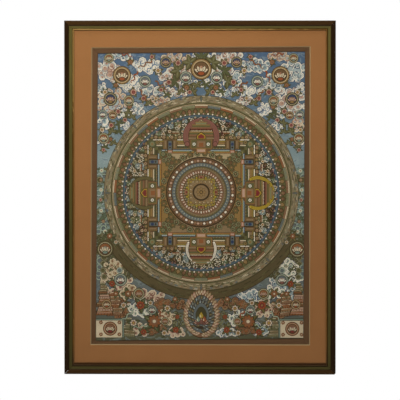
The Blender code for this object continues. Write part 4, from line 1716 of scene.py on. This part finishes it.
def stitch_row(here, there, face, length, thickness):
    """A row of stitches just outside one edge of the painting."""
    along = (there - here).normalized()
    outward = Vector((-along.y, along.x))
    if outward.dot(here) < 0:
        outward = -outward
    one = bmesh.new()
    bmesh.ops.create_uvsphere(one, u_segments=8, v_segments=5, radius=thickness / 2)
    for vert in one.verts:
        vert.co.x *= length * STITCH_SHARE / thickness
    stitch = as_mesh(one, "stitch")
    bm = bmesh.new()
    turn = Matrix.Rotation(-math.atan2(along.y, along.x), 4, "Y")
    for n in range(1, int((there - here).length / length)):
        spot = here + along * (n * length) + outward * 1.1 * MM
        add_copy(bm, stitch, Matrix.Translation(world_corner(spot.x, spot.y, face)) @ turn)
    return bm


class StageSettings(bpy.types.PropertyGroup):
    """Where the camera and the lamps stand."""

    azimuth: bpy.props.FloatProperty(
        name="Azimuth",
        description="Camera's turn to the right of the front",
        default=math.radians(2.0),
        subtype="ANGLE",
    )
    elevation: bpy.props.FloatProperty(
        name="Elevation",
        description="Camera's rise over the middle",
        default=math.radians(1.5),
        subtype="ANGLE",
    )
    distance: bpy.props.FloatProperty(
        name="Distance", description="Camera to the frame", default=14.0, unit="LENGTH"
    )
    lens: bpy.props.FloatProperty(name="Lens", description="Focal length in millimetres", default=485.0)
    aim_x: bpy.props.FloatProperty(
        name="Aim across",
        description="Aim beside the frame's middle",
        default=0.0001,
        unit="LENGTH",
        precision=4,
    )
    aim_z: bpy.props.FloatProperty(
        name="Aim up",
        description="Aim over the frame's middle",
        default=-0.0066,
        unit="LENGTH",
        precision=4,
    )
    key_power: bpy.props.FloatProperty(
        name="Key power", description="Main lamp", default=30.5, unit="POWER"
    )
    sheen_power: bpy.props.FloatProperty(
        name="Sheen power", description="Lamp over the top", default=21.0, unit="POWER"
    )
    fill_power: bpy.props.FloatProperty(
        name="Fill power", description="Each lamp behind", default=16.0, unit="POWER"
    )
    room_light: bpy.props.FloatProperty(
        name="Room light", description="Strength of the light from all round", default=0.07
    )


class MouldingSettings(bpy.types.PropertyGroup):
    """Colours of the frame's mouldings."""

    walnut: bpy.props.FloatVectorProperty(
        name="Walnut",
        description="Outer moulding's stain",
        default=(0.027, 0.0125, 0.0034),
        subtype="COLOR",
    )
    green: bpy.props.FloatVectorProperty(
        name="Green", description="Inner moulding's cove", default=(0.086, 0.069, 0.018), subtype="COLOR"
    )
    groove: bpy.props.FloatVectorProperty(
        name="Groove", description="Inner moulding's groove", default=(0.032, 0.018, 0.007), subtype="COLOR"
    )


class PaintingSettings(bpy.types.PropertyGroup):
    """Size of the painting's stitches."""

    stitch: bpy.props.FloatProperty(
        name="Stitch",
        description="Length of a stitch along the seam",
        default=4.2 * MM,
        unit="LENGTH",
        precision=4,
    )
    thread: bpy.props.FloatProperty(
        name="Thread", description="Thread's thickness", default=0.5 * MM, unit="LENGTH", precision=4
    )


KEY_PLACE = Vector((-0.28, -1.44, 0.80))
KEY_AIM = Vector((0.0, 0.0, 0.05))
SHEEN_PLACE = Vector((-0.5, -1.1, 2.6))
FILL_PLACES = {
    "back_lamp": Vector((0.0, 2.4, 1.2)),
    "left_lamp": Vector((-2.4, 0.5, 0.6)),
    "right_lamp": Vector((2.4, 0.5, 0.6)),
}
FILL_AIM = Vector((0.0, 0.1, -0.2))
FLOOR_RADIUS = 2.4
FLOOR_DROP = 0.6


def aim_at(made, target):
    """Turns a lamp or the camera towards a point."""
    away = made.location - target
    made.rotation_euler = away.to_track_quat("Z", "Y").to_euler()


def area_lamp(name, place, target, power, size):
    """Sets a round lamp and turns it towards a point; both are from the frame's middle."""
    lamp = bpy.data.lights.new(name, "AREA")
    lamp.shape = "DISK"
    lamp.size = size
    lamp.energy = power
    made = add_object(name, lamp)
    made.location = MIDDLE + place
    aim_at(made, MIDDLE + target)
    return made


def white_room(strength):
    """The surroundings: white to the camera, and a faint warm light from all round."""
    world = bpy.data.worlds.new("white_room")
    world.use_nodes = True
    tree = world.node_tree
    white = tree.nodes["Background"]
    white.inputs["Color"].default_value = (1, 1, 1, 1)
    warm = {"Color": (1.0, 0.98, 0.95, 1), "Strength": strength}
    light = add_node(tree, "ShaderNodeBackground", inputs=warm)
    seen = add_node(tree, "ShaderNodeLightPath", output="Is Camera Ray")
    inputs = {"Fac": seen, 1: light, 2: Value(tree, white.outputs[0])}
    mixed = add_node(tree, "ShaderNodeMixShader", inputs=inputs)
    feed(tree, tree.nodes["World Output"].inputs["Surface"], mixed)
    return world


def pale_floor():
    """A round floor under the frame, for the stage only."""
    bm = bmesh.new()
    bmesh.ops.create_circle(bm, cap_ends=True, segments=96, radius=FLOOR_RADIUS)
    bmesh.ops.translate(bm, verts=bm.verts, vec=(0, 0, LOW.z - FLOOR_DROP))
    floor = add_object("floor", as_mesh(bm, "floor"))
    pale = Finish("floor_paint", 0.9)
    pale.link("Base Color", pale.mix(pale.noise(3.0, 2.0), (0.78, 0.77, 0.75), (0.84, 0.83, 0.81)))
    floor.data.materials.append(pale.material)
    return floor


class BuildStage(bpy.types.Operator):
    """Sets the camera, the lamps, the white surroundings and the floor"""

    bl_idname = "painting.stage"
    bl_label = "Stage"

    def execute(self, context):
        settings = context.scene.painting_stage
        camera = bpy.data.cameras.new("camera")
        camera.sensor_width = 36.0
        camera.lens = settings.lens
        camera.clip_end = 60.0
        made = add_object("camera", camera)
        target = MIDDLE + Vector((settings.aim_x, LOW.y / 2, settings.aim_z))
        a, e = settings.azimuth, settings.elevation
        back = Vector((math.sin(a) * math.cos(e), -math.cos(a) * math.cos(e), math.sin(e)))
        made.location = target + back * settings.distance
        aim_at(made, target)
        context.scene.camera = made
        context.scene.view_settings.view_transform = "Standard"

        # The key stands close in front, so that the light falls off down the frame. It shows in no
        # mirror image, as a polarised studio lamp doesn't. The sheen lamp glances off the mouldings.
        key = area_lamp("key_lamp", KEY_PLACE, KEY_AIM, settings.key_power, 0.6)
        key.visible_glossy = False
        area_lamp("sheen_lamp", SHEEN_PLACE, Vector(), settings.sheen_power, 0.8)
        # These three stand behind the wall's plane and light only the back, the sides and the floor
        for name, place in FILL_PLACES.items():
            area_lamp(name, place, FILL_AIM, settings.fill_power, 1.2)
        context.scene.world = white_room(settings.room_light)
        pale_floor()
        return {"FINISHED"}


class BuildRails(bpy.types.Operator):
    """Builds the four dark outer lengths, worn round at the bottom right corner"""

    bl_idname = "painting.rails"
    bl_label = "Outer moulding"

    def execute(self, context):
        colour = tuple(context.scene.painting_moulding.walnut)
        # Painted light and shade: the lengths along X take a lighter copy of the stain, the upright ones a
        # darker copy
        lit_and_shaded_stains = {
            "X": wood("walnut_lit_along_x", scaled(colour, 1.36), "X", 0.42),
            "Z": wood("walnut_shaded_along_z", scaled(colour, 0.56), "Z", 0.42),
        }
        for side, (turn, span, reach, along) in SIDES.items():
            bm = moulding(RAIL_CORNERS, span, reach)
            if side in ("bottom", "right"):
                wear_corner(bm, turn)
            mark_edges(bm, reach)
            set_upright(bm, turn)
            made = make_piece("outer_" + side, bm, [lit_and_shaded_stains[along]], smooth=True)
            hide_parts("rail_" + side)
        return {"FINISHED"}


class BuildSlips(bpy.types.Operator):
    """Builds the four inner lengths: green cove, dark groove and gilt bead"""

    bl_idname = "painting.slips"
    bl_label = "Inner moulding"

    def execute(self, context):
        settings = context.scene.painting_moulding
        # The green keeps 0.55 of its colour at the foot of the frame: a painted shade
        greens = {a: wood("green_along_" + a.lower(), tuple(settings.green), a, 0.5, 0.55) for a in "XZ"}
        grooves = {a: wood("groove_along_" + a.lower(), tuple(settings.groove), a, 0.6) for a in "XZ"}
        beads = {a: gilt("bead_along_" + a.lower(), a) for a in "XZ"}
        for side, (turn, span, reach, along) in SIDES.items():
            bm = moulding(SLIP_CORNERS, span, reach)
            # On the top length the outer edge of the cove, under the outer moulding's lip, takes the dark
            # groove finish: a painted shadow
            for face in bm.faces:
                u = reach - face.calc_center_median().z
                if u > GROOVE_IN + 0.1 * MM:
                    face.material_index = 2
                elif u > GROOVE_OUT - 0.35 * MM or (side == "top" and u < 14 * MM):
                    face.material_index = 1
            mark_edges(bm, reach)
            set_upright(bm, turn)
            finishes = [greens[along], grooves[along], beads[along]]
            made = make_piece("inner_" + side, bm, finishes, smooth=True)
            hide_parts("slip_" + side)
        return {"FINISHED"}


class BuildGlass(bpy.types.Operator):
    """Gives the pane its clear glass"""

    bl_idname = "painting.glass"
    bl_label = "Glass"

    def execute(self, context):
        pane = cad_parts["glass_pane"]
        pane.data.materials.clear()
        pane.data.materials.append(picture_glass())
        return {"FINISHED"}


class BuildMat(bpy.types.Operator):
    """Builds the mat with its bevelled window"""

    bl_idname = "painting.mat"
    bl_label = "Mat"

    def execute(self, context):
        finishes = [salmon_paper(), cream_core()]
        made = make_piece("salmon_mat", plate_with_window(), finishes)
        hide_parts("mat_board")
        return {"FINISHED"}


class BuildStrips(bpy.types.Operator):
    """Builds the brown cloth strips, and the stitches that hold them to the painting"""

    bl_idname = "painting.strips"
    bl_label = "Cloth strips"

    def execute(self, context):
        settings = context.scene.painting_sewing
        cloth = strip_cloth()
        back, face = -STRIP_HIGH.y, -STRIP_LOW.y
        outlines = dict(zip(SIDES, strip_outlines()))
        for side, corners in outlines.items():
            bm = cloth_sheet(corners, back, face, 0.5 * MM)
            make_piece("strip_" + side, bm, [cloth], smooth=True)
            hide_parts("border_" + side)
        thread = sewing_thread()
        inner = [Vector(corner) for corner in PAINTING_CORNERS]
        for side, here, there in zip(SIDES, inner, inner[1:] + inner[:1]):
            bm = stitch_row(here, there, face, settings.stitch, settings.thread)
            make_piece("stitches_" + side, bm, [thread], smooth=True)
        for side, corners in outlines.items():
            flat = tuple(max(c[axis] for c in corners) - min(c[axis] for c in corners) for axis in (0, 1))
            quad_area(corners)
        return {"FINISHED"}


def quad_area(corners):
    """The area of a flat outline, by the shoelace rule."""
    pairs = zip(corners, corners[1:] + corners[:1])
    return abs(sum(a.x * b.y - b.x * a.y for a, b in pairs)) / 2


class BuildBacking(bpy.types.Operator):
    """Gives the backing board its hardboard"""

    bl_idname = "painting.backing"
    bl_label = "Backing board"

    def execute(self, context):
        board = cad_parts["backing_board"]
        board.data.materials.clear()
        board.data.materials.append(pressed_board())
        return {"FINISHED"}


class BuildCloth(bpy.types.Operator):
    """Builds the cotton that the painting is on, with its first washes"""

    bl_idname = "painting.cloth"
    bl_label = "Painted cloth"

    def execute(self, context):
        corners = inset_corners([Vector(c) for c in PAINTING_CORNERS], SEAM)
        bm = cloth_sheet(corners, -CLOTH_HIGH.y, -CLOTH_LOW.y, 0.3 * MM)
        made = make_piece("painting_ground", bm, [painted_ground()], smooth=True)
        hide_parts("painted_cloth")
        quad_area(corners)
        return {"FINISHED"}


class PaintSurroundings(bpy.types.Operator):
    """Paints the sky, the waters at the sides and the land at the foot"""

    bl_idname = "painting.surroundings"
    bl_label = "Sky, waters and land"

    def execute(self, context):
        paint_sky()
        paint_sides()
        paint_land()
        paint_altar()
        paint_edge_line()
        return {"FINISHED"}


class PaintMandala(bpy.types.Operator):
    """Paints the wheel: its circles, garden, palace and inner lotus"""

    bl_idname = "painting.mandala"
    bl_label = "Mandala"

    def execute(self, context):
        paint_wheel_rings()
        paint_field()
        paint_palace()
        paint_court()
        return {"FINISHED"}


STEPS = (
    BuildStage,
    BuildBacking,
    BuildCloth,
    PaintSurroundings,
    PaintMandala,
    BuildStrips,
    BuildMat,
    BuildGlass,
    BuildSlips,
    BuildRails,
)


class PaintingPanel(bpy.types.Panel):
    """Lists the pieces in the order they are made"""

    bl_idname = "VIEW3D_PT_painting"
    bl_label = "Framed painting"
    bl_space_type = "VIEW_3D"
    bl_region_type = "UI"
    bl_category = "Painting"

    def draw(self, context):
        for settings in ("painting_stage", "painting_moulding", "painting_sewing"):
            group = getattr(context.scene, settings)
            box = self.layout.box()
            for name in group.__annotations__:
                box.prop(group, name)
        for step in STEPS:
            self.layout.operator(step.bl_idname)


SETTINGS = {
    "painting_stage": StageSettings,
    "painting_moulding": MouldingSettings,
    "painting_sewing": PaintingSettings,
}


def register():
    for made in (*SETTINGS.values(), *STEPS, PaintingPanel):
        bpy.utils.register_class(made)
    for name, group in SETTINGS.items():
        setattr(bpy.types.Scene, name, bpy.props.PointerProperty(type=group))


def unregister():
    for name in SETTINGS:
        delattr(bpy.types.Scene, name)
    for made in reversed((*SETTINGS.values(), *STEPS, PaintingPanel)):
        bpy.utils.unregister_class(made)


def main():
    register()
    for step in STEPS:
        group, name = step.bl_idname.split(".")
        getattr(getattr(bpy.ops, group), name)()


if __name__ == "__main__":
    main()
